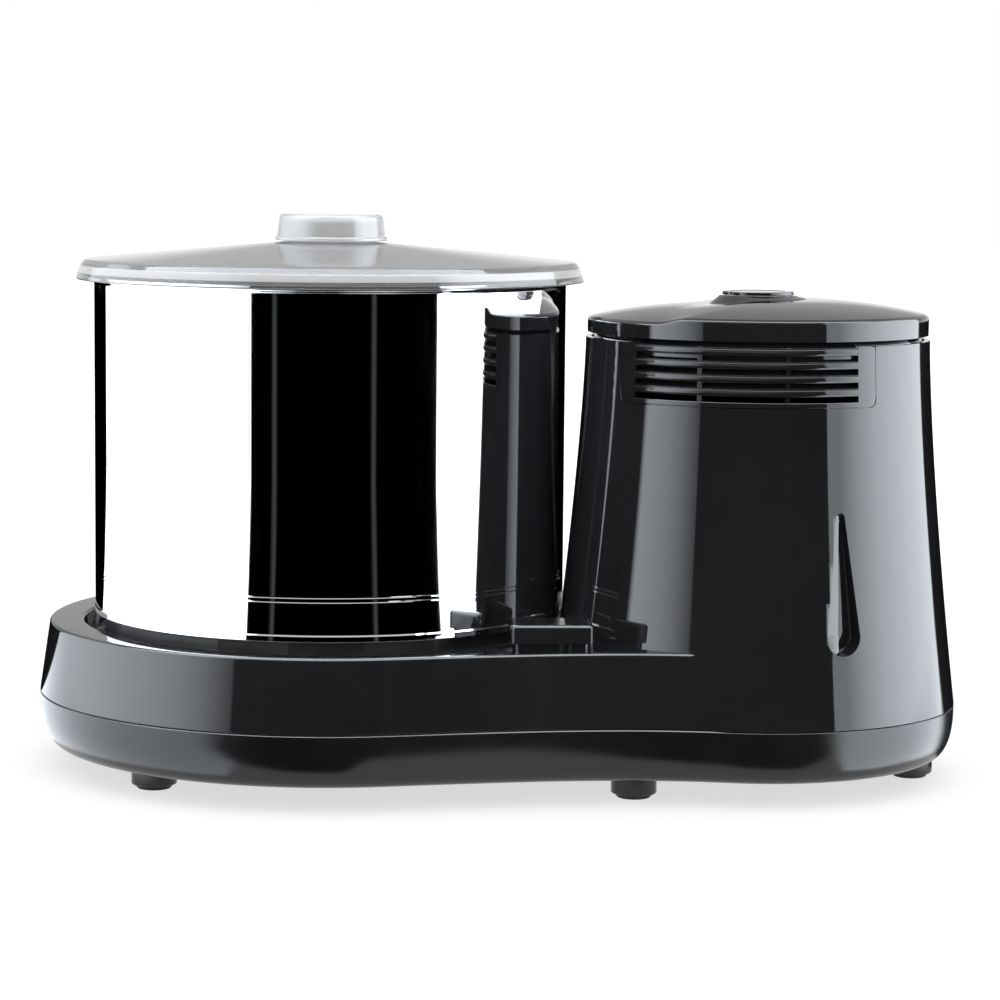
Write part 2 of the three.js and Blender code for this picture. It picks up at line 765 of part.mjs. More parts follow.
function towerLid() {
  const crownEdge = lidRadius - lidCreaseRound;
  const crown = [];
  for (const share of crownLevelShares) {
    const radius = THREE.MathUtils.lerp(crownEdge, lidBossRadius, share);
    const fall = ((radius - lidBossRadius) / (crownEdge - lidBossRadius)) ** 2;
    crown.push([radius, lidCrownHeight - (lidCrownHeight - lidCreaseHeight - lidCreaseRound / 2) * fall]);
  }
  const lipRadius = towerTopRadius - mouldedWall - seatGap;
  const profile = [
    [0, lidBossHeight - lidWall],
    [lidBossRadius, lidCrownHeight - lidWall],
    [lipRadius - lidWall, lidCreaseHeight - lidWall],
    [lipRadius - lidWall, towerTopHeight - lidLipDepth],
    [lipRadius, towerTopHeight - lidLipDepth],
    [lipRadius, lidEdgeHeight],
    [lidRadius, lidEdgeHeight],
    [lidRadius, lidCreaseHeight],
    ...crown,
    [lidBossTopRadius, lidBossHeight],
    [0, lidBossHeight],
  ];
  const outline = profile.map(([radius, height]) => new THREE.Vector2(radius, height));
  const geometry = new THREE.LatheGeometry(outline, towerFacets).rotateX(Math.PI / 2);
  const points = geometry.getAttribute('position');
  for (let i = 0; i < points.count; i++) {
    const [x, y, z] = [points.getX(i), points.getY(i), points.getZ(i)];
    const radius = Math.hypot(x, y);
    const onCrown = radius > lidBossRadius - seatGap && z > lidCreaseHeight - seatGap;
    const outside = z > lidCrownHeight - lidWall + seatGap || radius > lipRadius - seatGap;
    if (onCrown && outside) points.setZ(i, z + lidLift(x, y, radius));
  }
  return solidOf(geometry);
}

function towerCover() {
  const seat = lidBossHeight + seatGap;
  const top = seat + lidCoverThickness;
  return turned(
    [
      [0, seat],
      [lidCoverRadius, seat],
      [lidCoverRadius, top - lidCoverRound],
      [lidCoverRadius - lidCoverRound, top],
      [0, top],
    ],
    middleFacets,
  );
}

addPiece(towerSide, 'tower_lid', towerLid(), materials.glossBlack);
addPiece(towerSide, 'tower_cover', towerCover(), materials.glossBlack);

// Motor: plate, brackets, stator, windings, rotor, fan and pulley, all round the tower's axis.
const beltRise = 12.8;
const beltWidth = 8;
const pulleyFlange = 2.4;
const motorPlateThickness = 3;
const motorPlateWidth = 124;
const motorPlateDepth = 112;
const motorPlateCorner = 12;
const statorRadius = 54;
const statorBore = 30;
const statorStack = 37.7;
const statorSlotCount = 12;
const bracketWall = 3;
const bracketHubRadius = 14;
const bracketWindowCount = 4;
const windingInner = 33;
const windingOuter = 47;
const windingHeight = 11;
const windingRound = 3;
const rotorGap = 0.6;
const motorShaftRadius = 6;
const motorShaftEndRise = 2.4;
const lowerBracketHeight = 16.7;
const upperBracketHeight = 16;
const fanRadius = 50;
const fanClearance = 3.7;
const fanPlate = 1.6;
const fanBladeHeight = 13;
const fanBladeThickness = 1.6;
const fanBladeCount = 6;
const fanHubRadius = 10;

const panFloorHeight = panBottomHeight + mouldedWall;
const beltHeight = panFloorHeight + beltRise;
const pulleyBottomHeight = beltHeight - beltWidth / 2 - seatGap - pulleyFlange;
const plateTop = motorPlateHeight + motorPlateThickness;
const lowerBracketBottom = plateTop + seatGap;
const lowerBracketTop = lowerBracketBottom + lowerBracketHeight;
const statorBottomHeight = lowerBracketTop + seatGap;
const statorTopHeight = statorBottomHeight + statorStack;
const upperBracketBottom = statorTopHeight + seatGap;
const upperBracketTop = upperBracketBottom + upperBracketHeight;
const fanBottomHeight = upperBracketTop + fanClearance;
const motorShaftBottomHeight = pulleyBottomHeight + seatGap;
const motorShaftTopHeight = fanBottomHeight + fanPlate + fanBladeHeight + motorShaftEndRise;
const windowWidthShare = 0.5;
// One slot of the stator: a share of the pitch, and whether the point is at the slot's floor.
const statorSlotShares = [[0, false], [0.42, false], [0.36, true], [0.94, true], [0.9, false]];

function motorPlate() {
  const plate = raised(
    roundedBox(motorPlateWidth, motorPlateDepth, motorPlateCorner),
    motorPlateHeight,
    plateTop,
    4,
  );
  const opening = disc(
    bracketHubRadius + bracketWall,
    motorPlateHeight - cutOverrun,
    plateTop + cutOverrun,
    hiddenFacets,
  );
  return plate.subtract(opening);
}

// A cup with a shaft hub in its floor and windows round its wall. The upper one is the same cup turned over.
function bracketCup(height) {
  const outer = statorRadius;
  const inner = outer - bracketWall;
  const hubBore = motorShaftRadius + runningGap;
  let cup = turned(
    [
      [hubBore, 0],
      [outer, 0],
      [outer, height],
      [inner, height],
      [inner, bracketWall],
      [bracketHubRadius, bracketWall],
      [bracketHubRadius, bracketWall * 2],
      [hubBore, bracketWall * 2],
    ],
    hiddenFacets,
  );
  for (let i = 0; i < bracketWindowCount; i++) {
    const angle = (i / bracketWindowCount) * Math.PI * 2;
    const width = (inner - bracketHubRadius) * windowWidthShare;
    const slot = new THREE.BoxGeometry(width, bracketHubRadius, 2 * (bracketWall + cutOverrun));
    slot.translate((inner + bracketHubRadius) / 2, 0, 0).rotateZ(angle);
    cup = cup.subtract(solidOf(slot));
  }
  return cup;
}

function statorCore() {
  const shape = new THREE.Shape();
  shape.absarc(0, 0, statorRadius, 0, Math.PI * 2);
  const bore = new THREE.Path();
  const slotFloor = (statorRadius + statorBore) / 2;
  const pitch = (Math.PI * 2) / statorSlotCount;
  for (let i = 0; i < statorSlotCount; i++) {
    for (const [share, deep] of statorSlotShares) {
      const radius = deep ? slotFloor : statorBore;
      const angle = -(i + share) * pitch;
      const [x, y] = [radius * Math.cos(angle), radius * Math.sin(angle)];
      if (i === 0 && share === 0) bore.moveTo(x, y);
      else bore.lineTo(x, y);
    }
  }
  bore.closePath();
  shape.holes.push(bore);
  return raised(shape, statorBottomHeight, statorTopHeight, hiddenFacets / 2);
}

function winding(bottom) {
  const top = bottom + windingHeight;
  return turned(
    [
      [windingInner + windingRound, bottom],
      [windingOuter - windingRound, bottom],
      [windingOuter, bottom + windingHeight / 2],
      [windingOuter - windingRound, top],
      [windingInner + windingRound, top],
      [windingInner, bottom + windingHeight / 2],
    ],
    hiddenFacets,
  );
}

function rotor() {
  const core = statorBore - rotorGap;
  return turned(
    [
      [0, motorShaftBottomHeight],
      [motorShaftRadius, motorShaftBottomHeight],
      [motorShaftRadius, statorBottomHeight],
      [core, statorBottomHeight],
      [core, statorTopHeight],
      [motorShaftRadius, statorTopHeight],
      [motorShaftRadius, motorShaftTopHeight],
      [0, motorShaftTopHeight],
    ],
    hiddenFacets,
  );
}

function coolingFan() {
  const plate = ring(
    motorShaftRadius + seatGap,
    fanRadius,
    fanBottomHeight,
    fanBottomHeight + fanPlate,
    hiddenFacets,
  );
  const hub = ring(
    motorShaftRadius + seatGap,
    fanHubRadius,
    fanBottomHeight,
    fanBottomHeight + fanPlate + fanBladeHeight,
    smallFacets,
  );
  const blades = [];
  for (let i = 0; i < fanBladeCount; i++) {
    const blade = new THREE.BoxGeometry(
      fanRadius - fanHubRadius,
      fanBladeThickness,
      fanBladeHeight + fanPlate / 2,
    );
    blade.translate(
      (fanRadius + fanHubRadius) / 2 - fanBladeThickness / 2,
      0,
      fanBottomHeight + fanPlate / 2 + (fanBladeHeight + fanPlate / 2) / 2,
    );
    blade.rotateZ((i / fanBladeCount) * Math.PI * 2);
    blades.push(solidOf(blade));
  }
  return joined([plate, hub, ...blades]);
}

addPiece(towerSide, 'motor_plate', motorPlate(), materials.steel);
addPiece(
  towerSide,
  'motor_lower_bracket',
  bracketCup(lowerBracketTop - lowerBracketBottom),
  materials.castAluminium,
).position.z = lowerBracketBottom;
addPiece(towerSide, 'stator_core', statorCore(), materials.lamination);
addPiece(towerSide, 'lower_winding', winding(lowerBracketTop - windingHeight), materials.copper);
addPiece(towerSide, 'upper_winding', winding(upperBracketBottom), materials.copper);
const upperBracket = addPiece(
  towerSide,
  'motor_upper_bracket',
  bracketCup(upperBracketHeight),
  materials.castAluminium,
);
upperBracket.position.z = upperBracketTop;
upperBracket.rotation.x = Math.PI;
addPiece(towerSide, 'rotor', rotor(), materials.steel);
addPiece(towerSide, 'cooling_fan', coolingFan(), materials.drumMoulding);

// Belt drive from the motor shaft to the drum spindle.
const beltThickness = 3;
const beltSlack = 0.5;
const motorPulleyRadius = 9.75;
const pulleyRatioShare = 8;
const drumPulleyRadius = motorPulleyRadius * pulleyRatioShare;
const pulleyFlangeDepth = 2;
const pulleyHubRadius = 16;
const pulleyWeb = 3;
const pulleyRim = 5;
const pulleyHoleCount = 4;
const pulleyHubAbove = 7;
const pulleyHubBelow = 8;
const pulleyHubTop = beltHeight + pulleyHubAbove;
const pulleyHubBottom = beltHeight - pulleyHubBelow;

function pulleyFace(inner, radius) {
  const half = beltWidth / 2 + seatGap;
  return [
    [inner, pulleyBottomHeight],
    [radius + pulleyFlangeDepth, pulleyBottomHeight],
    [radius + pulleyFlangeDepth, beltHeight - half],
    [radius, beltHeight - half],
    [radius, beltHeight + half],
    [radius + pulleyFlangeDepth, beltHeight + half],
    [radius + pulleyFlangeDepth, beltHeight + half + pulleyFlange],
    [inner, beltHeight + half + pulleyFlange],
  ];
}

function drumPulley() {
  const rim = turned(pulleyFace(drumPulleyRadius - pulleyRim, drumPulleyRadius), middleFacets);
  const hub = ring(spindleRadius + seatGap, pulleyHubRadius, pulleyHubBottom, pulleyHubTop, hiddenFacets);
  let web = ring(
    (spindleRadius + pulleyHubRadius) / 2,
    drumPulleyRadius - pulleyRim / 2,
    beltHeight - pulleyWeb / 2,
    beltHeight + pulleyWeb / 2,
    hiddenFacets,
  );
  const holeRadius = (drumPulleyRadius - pulleyRim - pulleyHubRadius) / 3;
  const place = (drumPulleyRadius - pulleyRim + pulleyHubRadius) / 2;
  for (let i = 0; i < pulleyHoleCount; i++) {
    const angle = (i / pulleyHoleCount) * Math.PI * 2;
    web = web.subtract(
      disc(
        holeRadius,
        beltHeight - pulleyWeb - cutOverrun,
        beltHeight + pulleyWeb + cutOverrun,
        smallFacets,
        place * Math.cos(angle),
        place * Math.sin(angle),
      ),
    );
  }
  return joined([rim, hub, web]);
}

// The belt's inner or outer line: two arcs and the straight runs that touch both.
function beltLine(grow) {
  const [wide, narrow] = [drumPulleyRadius + grow, motorPulleyRadius + grow];
  const lean = Math.asin((wide - narrow) / axisDistance);
  const path = new THREE.Shape();
  path.absarc(drumX, 0, wide, Math.PI / 2 - lean, Math.PI * 1.5 + lean);
  path.absarc(towerX, 0, narrow, Math.PI * 1.5 + lean, Math.PI * 2.5 - lean);
  path.closePath();
  return path;
}

function driveBelt() {
  const shape = beltLine(beltSlack + beltThickness);
  const steps = middleFacets / 2;
  shape.holes.push(new THREE.Path(beltLine(beltSlack).getPoints(steps).reverse()));
  return raised(shape, beltHeight - beltWidth / 2, beltHeight + beltWidth / 2, steps);
}

addPiece(
  towerSide,
  'motor_pulley',
  turned(pulleyFace(motorShaftRadius + seatGap, motorPulleyRadius), smallFacets),
  materials.castAluminium,
);
addPiece(drumSide, 'drum_pulley', drumPulley(), materials.castAluminium);
addPiece(root, 'drive_belt', driveBelt(), materials.rubber);

// Spindle, bearings, the housing that holds them under the well, the coupling and the fixed centre shaft.
const bearingRadius = 14;
const bearingHeight = 8;
const bearingShoulder = 3;
const lowerBearingBottom = pulleyHubTop + runningGap;
const bearingHousingFlange = 44;
const bearingHousingFlangeThickness = 4;
const bearingHousingTop = wellFloorHeight - seatGap;
const bearingHousingBottom = lowerBearingBottom;
const upperBearingBottom = bearingHousingTop - bearingHeight;
const couplingBottom = wellFloorHeight + runningGap;
const couplingThickness = 4.6;
const couplingRadius = 30;
const prongRadius = 4;
const prongPlace = 22;
const prongLength = 7;
const prongCount = 4;
const shaftFootRadius = 22;
const shaftFootThickness = 4;

function bearingHousing() {
  const flangeTop = wellFloorHeight - mouldedWall - seatGap;
  const seat = bearingRadius + seatGap / 2;
  const shoulder = bearingRadius - bearingShoulder;
  return turned(
    [
      [seat, bearingHousingBottom],
      [bearingHousingRadius, bearingHousingBottom],
      [bearingHousingRadius, flangeTop - bearingHousingFlangeThickness * 2],
      [bearingHousingFlange, flangeTop - bearingHousingFlangeThickness],
      [bearingHousingFlange, flangeTop],
      [bearingHousingRadius, flangeTop],
      [bearingHousingRadius, bearingHousingTop],
      [seat, bearingHousingTop],
      [seat, upperBearingBottom - seatGap],
      [shoulder, upperBearingBottom - seatGap],
      [shoulder, lowerBearingBottom + bearingHeight + seatGap],
      [seat, lowerBearingBottom + bearingHeight + seatGap],
    ],
    hiddenFacets,
  );
}

function bearing(bottom) {
  return ring(spindleRadius + seatGap, bearingRadius, bottom, bottom + bearingHeight, hiddenFacets);
}

function driveCoupling() {
  const top = couplingBottom + couplingThickness;
  const plate = ring(spindleRadius + seatGap, couplingRadius, couplingBottom, top, hiddenFacets);
  const prongs = [];
  for (let i = 0; i < prongCount; i++) {
    const angle = (i / prongCount) * Math.PI * 2;
    prongs.push(
      disc(
        prongRadius,
        couplingBottom + couplingThickness / 2,
        top + prongLength,
        smallFacets,
        prongPlace * Math.cos(angle),
        prongPlace * Math.sin(angle),
      ),
    );
  }
  return joined([plate, ...prongs]);
}

function centreShaft() {
  const foot = panFloorHeight + seatGap;
  const round = turned(
    [
      [0, foot],
      [shaftFootRadius, foot],
      [shaftFootRadius, foot + shaftFootThickness],
      [shaftRadius, foot + shaftFootThickness],
      [shaftRadius, shaftTopHeight - shaftSquareLength],
      [0, shaftTopHeight - shaftSquareLength],
    ],
    smallFacets,
  );
  const squareShape = roundedBox(shaftSquare, shaftSquare, shaftSquareCorner);
  const square = raised(squareShape, shaftTopHeight - shaftSquareLength - shaftRadius, shaftTopHeight, 2);
  return round.add(square);
}

addPiece(drumSide, 'bearing_housing', bearingHousing(), materials.castAluminium);
addPiece(drumSide, 'lower_bearing', bearing(lowerBearingBottom), materials.steel);
addPiece(drumSide, 'upper_bearing', bearing(upperBearingBottom), materials.steel);
addPiece(
  drumSide,
  'drive_spindle',
  ring(shaftRadius + seatGap, spindleRadius, pulleyHubBottom, spindleTopHeight, hiddenFacets),
  materials.steel,
);
addPiece(drumSide, 'drive_coupling', driveCoupling(), materials.castAluminium);
addPiece(drumSide, 'centre_shaft', centreShaft(), materials.steel);

// Run capacitor, standing on the pan beside the well.
const capacitorRadius = 15;
const capacitorClearance = 1;
const capacitorAngle = THREE.MathUtils.degToRad(33.4);
const capacitorPlace = wellRadius + mouldedWall + capacitorClearance + capacitorRadius;
const capacitorHeight = 44;
const capacitorNeck = 9;
const capacitorShoulder = 3;

addPiece(
  drumSide,
  'run_capacitor',
  turned(
    [
      [0, panFloorHeight + seatGap],
      [capacitorRadius, panFloorHeight + seatGap],
      [capacitorRadius, panFloorHeight + capacitorHeight - capacitorShoulder],
      [capacitorNeck, panFloorHeight + capacitorHeight],
      [0, panFloorHeight + capacitorHeight],
    ],
    smallFacets,
  ),
  materials.drumMoulding,
).position.set(capacitorPlace * Math.cos(capacitorAngle), capacitorPlace * Math.sin(capacitorAngle), 0);

// Drum: steel shell, granite floor, centre tube and the moulding underneath that takes the prongs.
const drumBaseInset = 4.5;
const drumBaseRadius = drumRadius - drumBaseInset;
const drumBaseWeb = 4.4;
const drumBaseRim = 5;
const drumBaseFloorGap = 2.6;
const drumBaseSkirtHeight = wellFloorHeight + drumBaseFloorGap;
const drumBaseHubRadius = 34;
const drumBaseTop = drumFootHeight - seatGap;
const drumBaseHubBottom = couplingBottom + couplingThickness + seatGap;
const tubeBore = spindleRadius + seatGap;
const tubeHole = tubeRadius + seatGap;
const tubeFlange = 10.4;
const tubeFlangeThickness = 1.9;

function drumShell() {
  const inner = drumRadius - drumWall;
  const groove = drumFootHeight + grooveRise;
  const floor = drumFootHeight + drumFloorWall;
  return turned(
    [
      [tubeHole, drumFootHeight],
      [drumRadius + drumFootFlange, drumFootHeight],
      [drumRadius + drumFootFlange, drumFootHeight + drumFootBand],
      [drumRadius, drumFootHeight + drumFootBand],
      [drumRadius, groove],
      [drumRadius - grooveDepth, groove + grooveWidth / 2],
      [drumRadius, groove + grooveWidth],
      [drumRadius, drumRimHeight - drumBead * 2],
      [drumRadius + drumBead, drumRimHeight - drumBead],
      [drumRadius + drumBead / 2, drumRimHeight],
      [inner, drumRimHeight],
      [inner, floor],
      [tubeHole, floor],
    ],
    wideFacets,
  );
}

function stoneFloor() {
  const bottom = drumFootHeight + drumFloorWall + seatGap;
  const outer = drumRadius - drumWall - seatGap;
  return turned(
    [
      [tubeHole, bottom],
      [outer, bottom],
      [outer, stoneFloorHeight],
      [tubeHole, stoneFloorHeight],
    ],
    wideFacets,
  );
}

function centreTube() {
  const flange = tubeRadius + tubeFlange;
  const seat = stoneFloorHeight + seatGap;
  return turned(
    [
      [tubeBore, drumBaseHubBottom],
      [tubeRadius, drumBaseHubBottom],
      [tubeRadius, seat],
      [flange, seat],
      [flange, seat + tubeFlangeThickness],
      [tubeRadius, seat + tubeFlangeThickness * 2],
      [tubeRadius, tubeTopHeight],
      [tubeBore, tubeTopHeight],
    ],
    middleFacets,
  );
}

function drumBase() {
  const web = ring(tubeHole, drumBaseRadius, drumBaseTop - drumBaseWeb, drumBaseTop, middleFacets);
  const rim = ring(
    drumBaseRadius - drumBaseRim,
    drumBaseRadius,
    drumBaseSkirtHeight,
    drumBaseTop,
    middleFacets,
  );
  const hub = ring(tubeHole, drumBaseHubRadius, drumBaseHubBottom, drumBaseTop, hiddenFacets);
  const sockets = [];
  for (let i = 0; i < prongCount; i++) {
    const angle = (i / prongCount) * Math.PI * 2;
    sockets.push(
      disc(
        prongRadius + runningGap,
        drumBaseHubBottom - cutOverrun,
        drumBaseTop - drumFloorWall / 2,
        smallFacets,
        prongPlace * Math.cos(angle),
        prongPlace * Math.sin(angle),
      ),
    );
  }
  return cut(joined([web, rim, hub]), sockets);
}

addPiece(drumSide, 'drum_shell', drumShell(), materials.polishedSteel);
addPiece(drumSide, 'drum_floor_stone', stoneFloor(), materials.granite);
addPiece(drumSide, 'drum_centre_tube', centreTube(), materials.steel);
addPiece(drumSide, 'drum_base', drumBase(), materials.drumMoulding);

// Roller unit: a bush that stands still on the fixed shaft, the frame, its two stones and the scraper.
const bushFlange = 3;
const bushLength = 20;
const frameSeat = tubeTopHeight + seatGap + bushFlange + seatGap;
const frameCap = 4;
const frameTopHeight = shaftTopHeight + frameCap;
const frameTopChamfer = 3;
const rollerRadius = 38;
const rollerInner = 26;
const rollerWallGap = 20.5;
const rollerOuter = drumRadius - rollerWallGap;
const rollerChamfer = 2;
const axleRadius = 7;
const axleRoot = 18;
const axleThread = 6;
const axleEnd = rollerOuter + axleThread;
const axleBossRadius = 11.5;
const axleBossGap = 1.5;
const axleBossEnd = rollerInner - axleBossGap;
const sleeveBelowBoss = 3;
const axleNutLength = 8;
const axleNutRadius = 10;
const rollerHeight = stoneFloorHeight + seatGap + rollerRadius;
const sleeveBottomHeight = rollerHeight - axleBossRadius - sleeveBelowBoss;

function rollerBush() {
  return turned(
    [
      [shaftRadius + seatGap, tubeTopHeight - bushLength],
      [spindleRadius, tubeTopHeight - bushLength],
      [spindleRadius, tubeTopHeight + seatGap],
      [tubeRadius, tubeTopHeight + seatGap],
      [tubeRadius, tubeTopHeight + seatGap + bushFlange],
      [shaftRadius + seatGap, tubeTopHeight + seatGap + bushFlange],
    ],
    middleFacets,
  );
}

// A bar along the Y axis from one reach to another, on one side of the drum axis.
function sideways(profile, facets, side) {
  const points = profile.map(([radius, reach]) => new THREE.Vector2(radius, reach));
  const closed = profile[0][0] === 0 && profile[profile.length - 1][0] === 0;
  if (!closed) points.push(points[0].clone());
  const geometry = new THREE.LatheGeometry(points, facets);
  if (side < 0) geometry.rotateZ(Math.PI);
  return solidOf(moved(geometry, 0, 0, rollerHeight));
}

function bar(radius, near, far, facets, side) {
  return sideways([[0, near], [radius, near], [radius, far], [0, far]], facets, side);
}

function rollerFrame() {
  const bore = tubeRadius + runningGap;
  const shaftHole = shaftRadius + seatGap;
  const body = turned(
    [
      [bore, sleeveBottomHeight],
      [sleeveRadius, sleeveBottomHeight],
      [sleeveRadius, frameTopHeight - frameTopChamfer],
      [sleeveRadius - frameTopChamfer, frameTopHeight],
      [0, frameTopHeight],
      [0, shaftTopHeight - shaftSquareLength],
      [shaftHole, shaftTopHeight - shaftSquareLength],
      [shaftHole, frameSeat],
      [bore, frameSeat],
    ],
    middleFacets,
  );
  const socketSide = shaftSquare + 2 * seatGap;
  const socket = raised(
    roundedBox(socketSide, socketSide, shaftSquareCorner),
    shaftTopHeight - shaftSquareLength - cutOverrun,
    shaftTopHeight + seatGap,
    2,
  );
  const bosses = [];
  const bores = [];
  for (const side of [-1, 1]) {
    bosses.push(bar(axleBossRadius, bore + seatGap, axleBossEnd, smallFacets, side));
    bores.push(bar(axleRadius + seatGap, axleRoot - seatGap, axleBossEnd + cutOverrun, smallFacets, side));
  }
  const clear = disc(bore, sleeveBottomHeight - cutOverrun, frameSeat, middleFacets);
  return cut(joined([body, ...bosses]), [...bores, clear, socket]);
}

function rollerStone(side) {
  const bore = axleRadius + seatGap;
  return sideways(
    [
      [bore, rollerInner],
      [rollerRadius - rollerChamfer, rollerInner],
      [rollerRadius, rollerInner + rollerChamfer],
      [rollerRadius, rollerOuter - rollerChamfer],
      [rollerRadius - rollerChamfer, rollerOuter],
      [bore, rollerOuter],
    ],
    middleFacets,
    side,
  );
}

function rollerAxle(side) {
  return bar(axleRadius, axleRoot, axleEnd, smallFacets, side);
}

function axleNut(side) {
  const seat = rollerOuter + seatGap;
  const top = seat + axleNutLength;
  const corner = axleNutRadius / Math.cos(Math.PI / 6);
  const body = bar(corner, seat, top, 6, side);
  return body.subtract(bar(axleRadius + seatGap, seat - cutOverrun, axleEnd + seatGap, smallFacets, side));
}

// Lifting handle: an arch on top of the frame, and its two feet.
const handleHalfWidth = 31;
const handleHeight = 27;
const handleThickness = 12;
const handleBar = 7;
const handleFoot = 3;

function rollerHandle() {
  const outer = new THREE.Shape();
  const low = frameTopHeight + seatGap;
  const corner = handleHeight / 2;
  outer.moveTo(-handleHalfWidth, low);
  outer.lineTo(handleHalfWidth, low);
  outer.lineTo(handleHalfWidth, low + handleHeight - corner);
  outer.absarc(handleHalfWidth - corner, low + handleHeight - corner, corner, 0, Math.PI / 2);
  outer.lineTo(corner - handleHalfWidth, low + handleHeight);
  outer.absarc(corner - handleHalfWidth, low + handleHeight - corner, corner, Math.PI / 2, Math.PI);
  outer.closePath();
  const hand = new THREE.Path();
  const half = handleHalfWidth - handleBar;
  const floor = low + handleFoot;
  const roof = low + handleHeight - handleBar;
  const inner = corner - handleBar;
  hand.moveTo(-half, floor);
  hand.lineTo(-half, roof - inner);
  hand.absarc(inner - half, roof - inner, inner, Math.PI, Math.PI / 2, true);
  hand.lineTo(half - inner, roof);
  hand.absarc(half - inner, roof - inner, inner, Math.PI / 2, 0, true);
  hand.lineTo(half, floor);
  hand.closePath();
  outer.holes.push(hand);
  const geometry = new THREE.ExtrudeGeometry(outer, {
    depth: handleThickness,
    bevelEnabled: false,
    curveSegments: 4,
  });
  geometry.translate(0, 0, -handleThickness / 2);
  geometry.rotateX(Math.PI / 2);
  return solidOf(geometry);
}

// Scraper: an arm off the frame and a curved blade that runs close to the drum wall.
const scraperDrop = 21;
const scraperHeight = frameTopHeight - scraperDrop;
const scraperArm = 6;
const scraperArmWidth = 9;
const scraperHalfAngle = THREE.MathUtils.degToRad(9);
const scraperBlade = 3.4;
const scraperWallGap = 0.7;
const scraperFloorGap = 2;

function scraper() {
  const outer = drumRadius - drumWall - scraperWallGap;
  const low = stoneFloorHeight + scraperFloorGap;
  const blade = ring(outer - scraperBlade, outer, low, scraperHeight + scraperArm, wideFacets).intersect(
    wedge(drumRadius, low - cutOverrun, scraperHeight + scraperArm + cutOverrun, Math.PI, scraperHalfAngle),
  );
  const inner = sleeveRadius + seatGap;
  const arm = new THREE.BoxGeometry(outer - scraperBlade / 2 - inner, scraperArmWidth, scraperArm);
  arm.translate(-(outer - scraperBlade / 2 + inner) / 2, 0, scraperHeight + scraperArm / 2);
  return blade.add(solidOf(arm));
}

addPiece(drumSide, 'roller_bush', rollerBush(), materials.nylon);
addPiece(drumSide, 'roller_frame', rollerFrame(), materials.castAluminium);
addPiece(drumSide, 'roller_handle', rollerHandle(), materials.drumMoulding);
addPiece(drumSide, 'scraper', scraper(), materials.nylon);
for (const [place, side] of [['front', -1], ['back', 1]]) {
  addPiece(drumSide, `roller_stone_${place}`, rollerStone(side), materials.granite);
  addPiece(drumSide, `roller_axle_${place}`, rollerAxle(side), materials.steel);
  addPiece(drumSide, `axle_nut_${place}`, axleNut(side), materials.steel);
}

// Clear lid, a shallow cone with a skirt over the drum's rim, and its hollow knob.
const coverOverhang = 8.8;
const coverSkirtDrop = 2.2;
const coverCreaseRise = 4.4;
const coverShoulderRise = 7.8;
const coverShoulderDraw = 9.3;
const coverConeRise = 7.8;
const coverThickness = 2;
const coverHoleRadius = 20;
const coverSeatOverlap = 1;
const coverRadius = drumRadius + coverOverhang;
const coverEdgeHeight = drumRimHeight - coverSkirtDrop;
const coverCreaseHeight = drumRimHeight + coverCreaseRise;
const coverShoulderRadius = coverRadius - coverShoulderDraw;
const coverShoulderHeight = drumRimHeight + coverShoulderRise;
const coverTopHeight = coverShoulderHeight + coverConeRise;
const coverSeatRadius = drumRadius - coverSeatOverlap;
const knobFlangeReach = 6.9;
const knobFlange = 1.6;
const knobFootStep = 1;
const knobDraw = 1.3;
const knobRise = 13.4;
const knobWall = 2;
const knobRound = 1.6;
const knobHook = 1.6;
const knobFlangeRadius = coverHoleRadius + knobFlangeReach;
const knobFootRadius = knobFlangeRadius - knobFootStep;
const knobTopRadius = knobFootRadius - knobDraw;
const knobTopHeight = coverTopHeight + knobRise;

function coneHeight(radius) {
  const share = (coverShoulderRadius - radius) / (coverShoulderRadius - knobFlangeRadius);
  return coverShoulderHeight + (coverTopHeight - coverShoulderHeight) * share;
}

function drumLid() {
  const inner = coverRadius - coverThickness;
  const rimSeat = drumRimHeight + seatGap;
  const rimOuter = drumRadius + drumBead;
  const under = coverShoulderHeight - coverThickness;
  return turned(
    [
      [coverHoleRadius, coneHeight(coverHoleRadius) - coverThickness],
      [coverSeatRadius, under],
      [coverSeatRadius, rimSeat],
      [rimOuter, rimSeat],
      [inner, coverCreaseHeight - coverThickness * 2],
      [inner, coverEdgeHeight],
      [coverRadius, coverEdgeHeight],
      [coverRadius - coverThickness / 2, coverCreaseHeight],
      [coverRadius - coverThickness * 2, coverShoulderHeight - coverThickness / 2],
      [coverShoulderRadius, coverShoulderHeight],
      [coverHoleRadius, coneHeight(coverHoleRadius)],
    ],
    wideFacets,
  );
}

function lidKnob() {
  const seat = coneHeight(knobFlangeRadius) + seatGap + (coneHeight(coverHoleRadius) - coverTopHeight);
  const neck = coverHoleRadius - seatGap;
  const hookBottom = coneHeight(coverHoleRadius) - coverThickness - seatGap;
  return turned(
    [
      [neck - knobWall, hookBottom - knobHook],
      [neck + knobHook, hookBottom - knobHook],
      [neck + knobHook, hookBottom - seatGap],
      [neck, hookBottom],
      [neck, seat],
      [knobFlangeRadius, seat],
      [knobFlangeRadius, seat + knobFlange],
      [knobFootRadius, seat + knobFlange],
      [knobTopRadius, knobTopHeight - knobRound],
      [knobTopRadius - knobRound, knobTopHeight],
      [0, knobTopHeight],
      [0, knobTopHeight - knobWall],
      [knobTopRadius - knobWall - knobRound, knobTopHeight - knobWall],
      [neck - knobWall, seat + knobFlange],
    ],
    middleFacets,
  );
}

addPiece(drumSide, 'drum_lid', drumLid(), materials.clear);
addPiece(drumSide, 'lid_knob', lidKnob(), materials.clear);

export default root;
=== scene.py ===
import bpy
import bmesh
import json
from math import acos, atan2, ceil, copysign, cos, degrees, pi, radians, remainder, sin, sqrt, tan, tau
from mathutils import Matrix, Vector


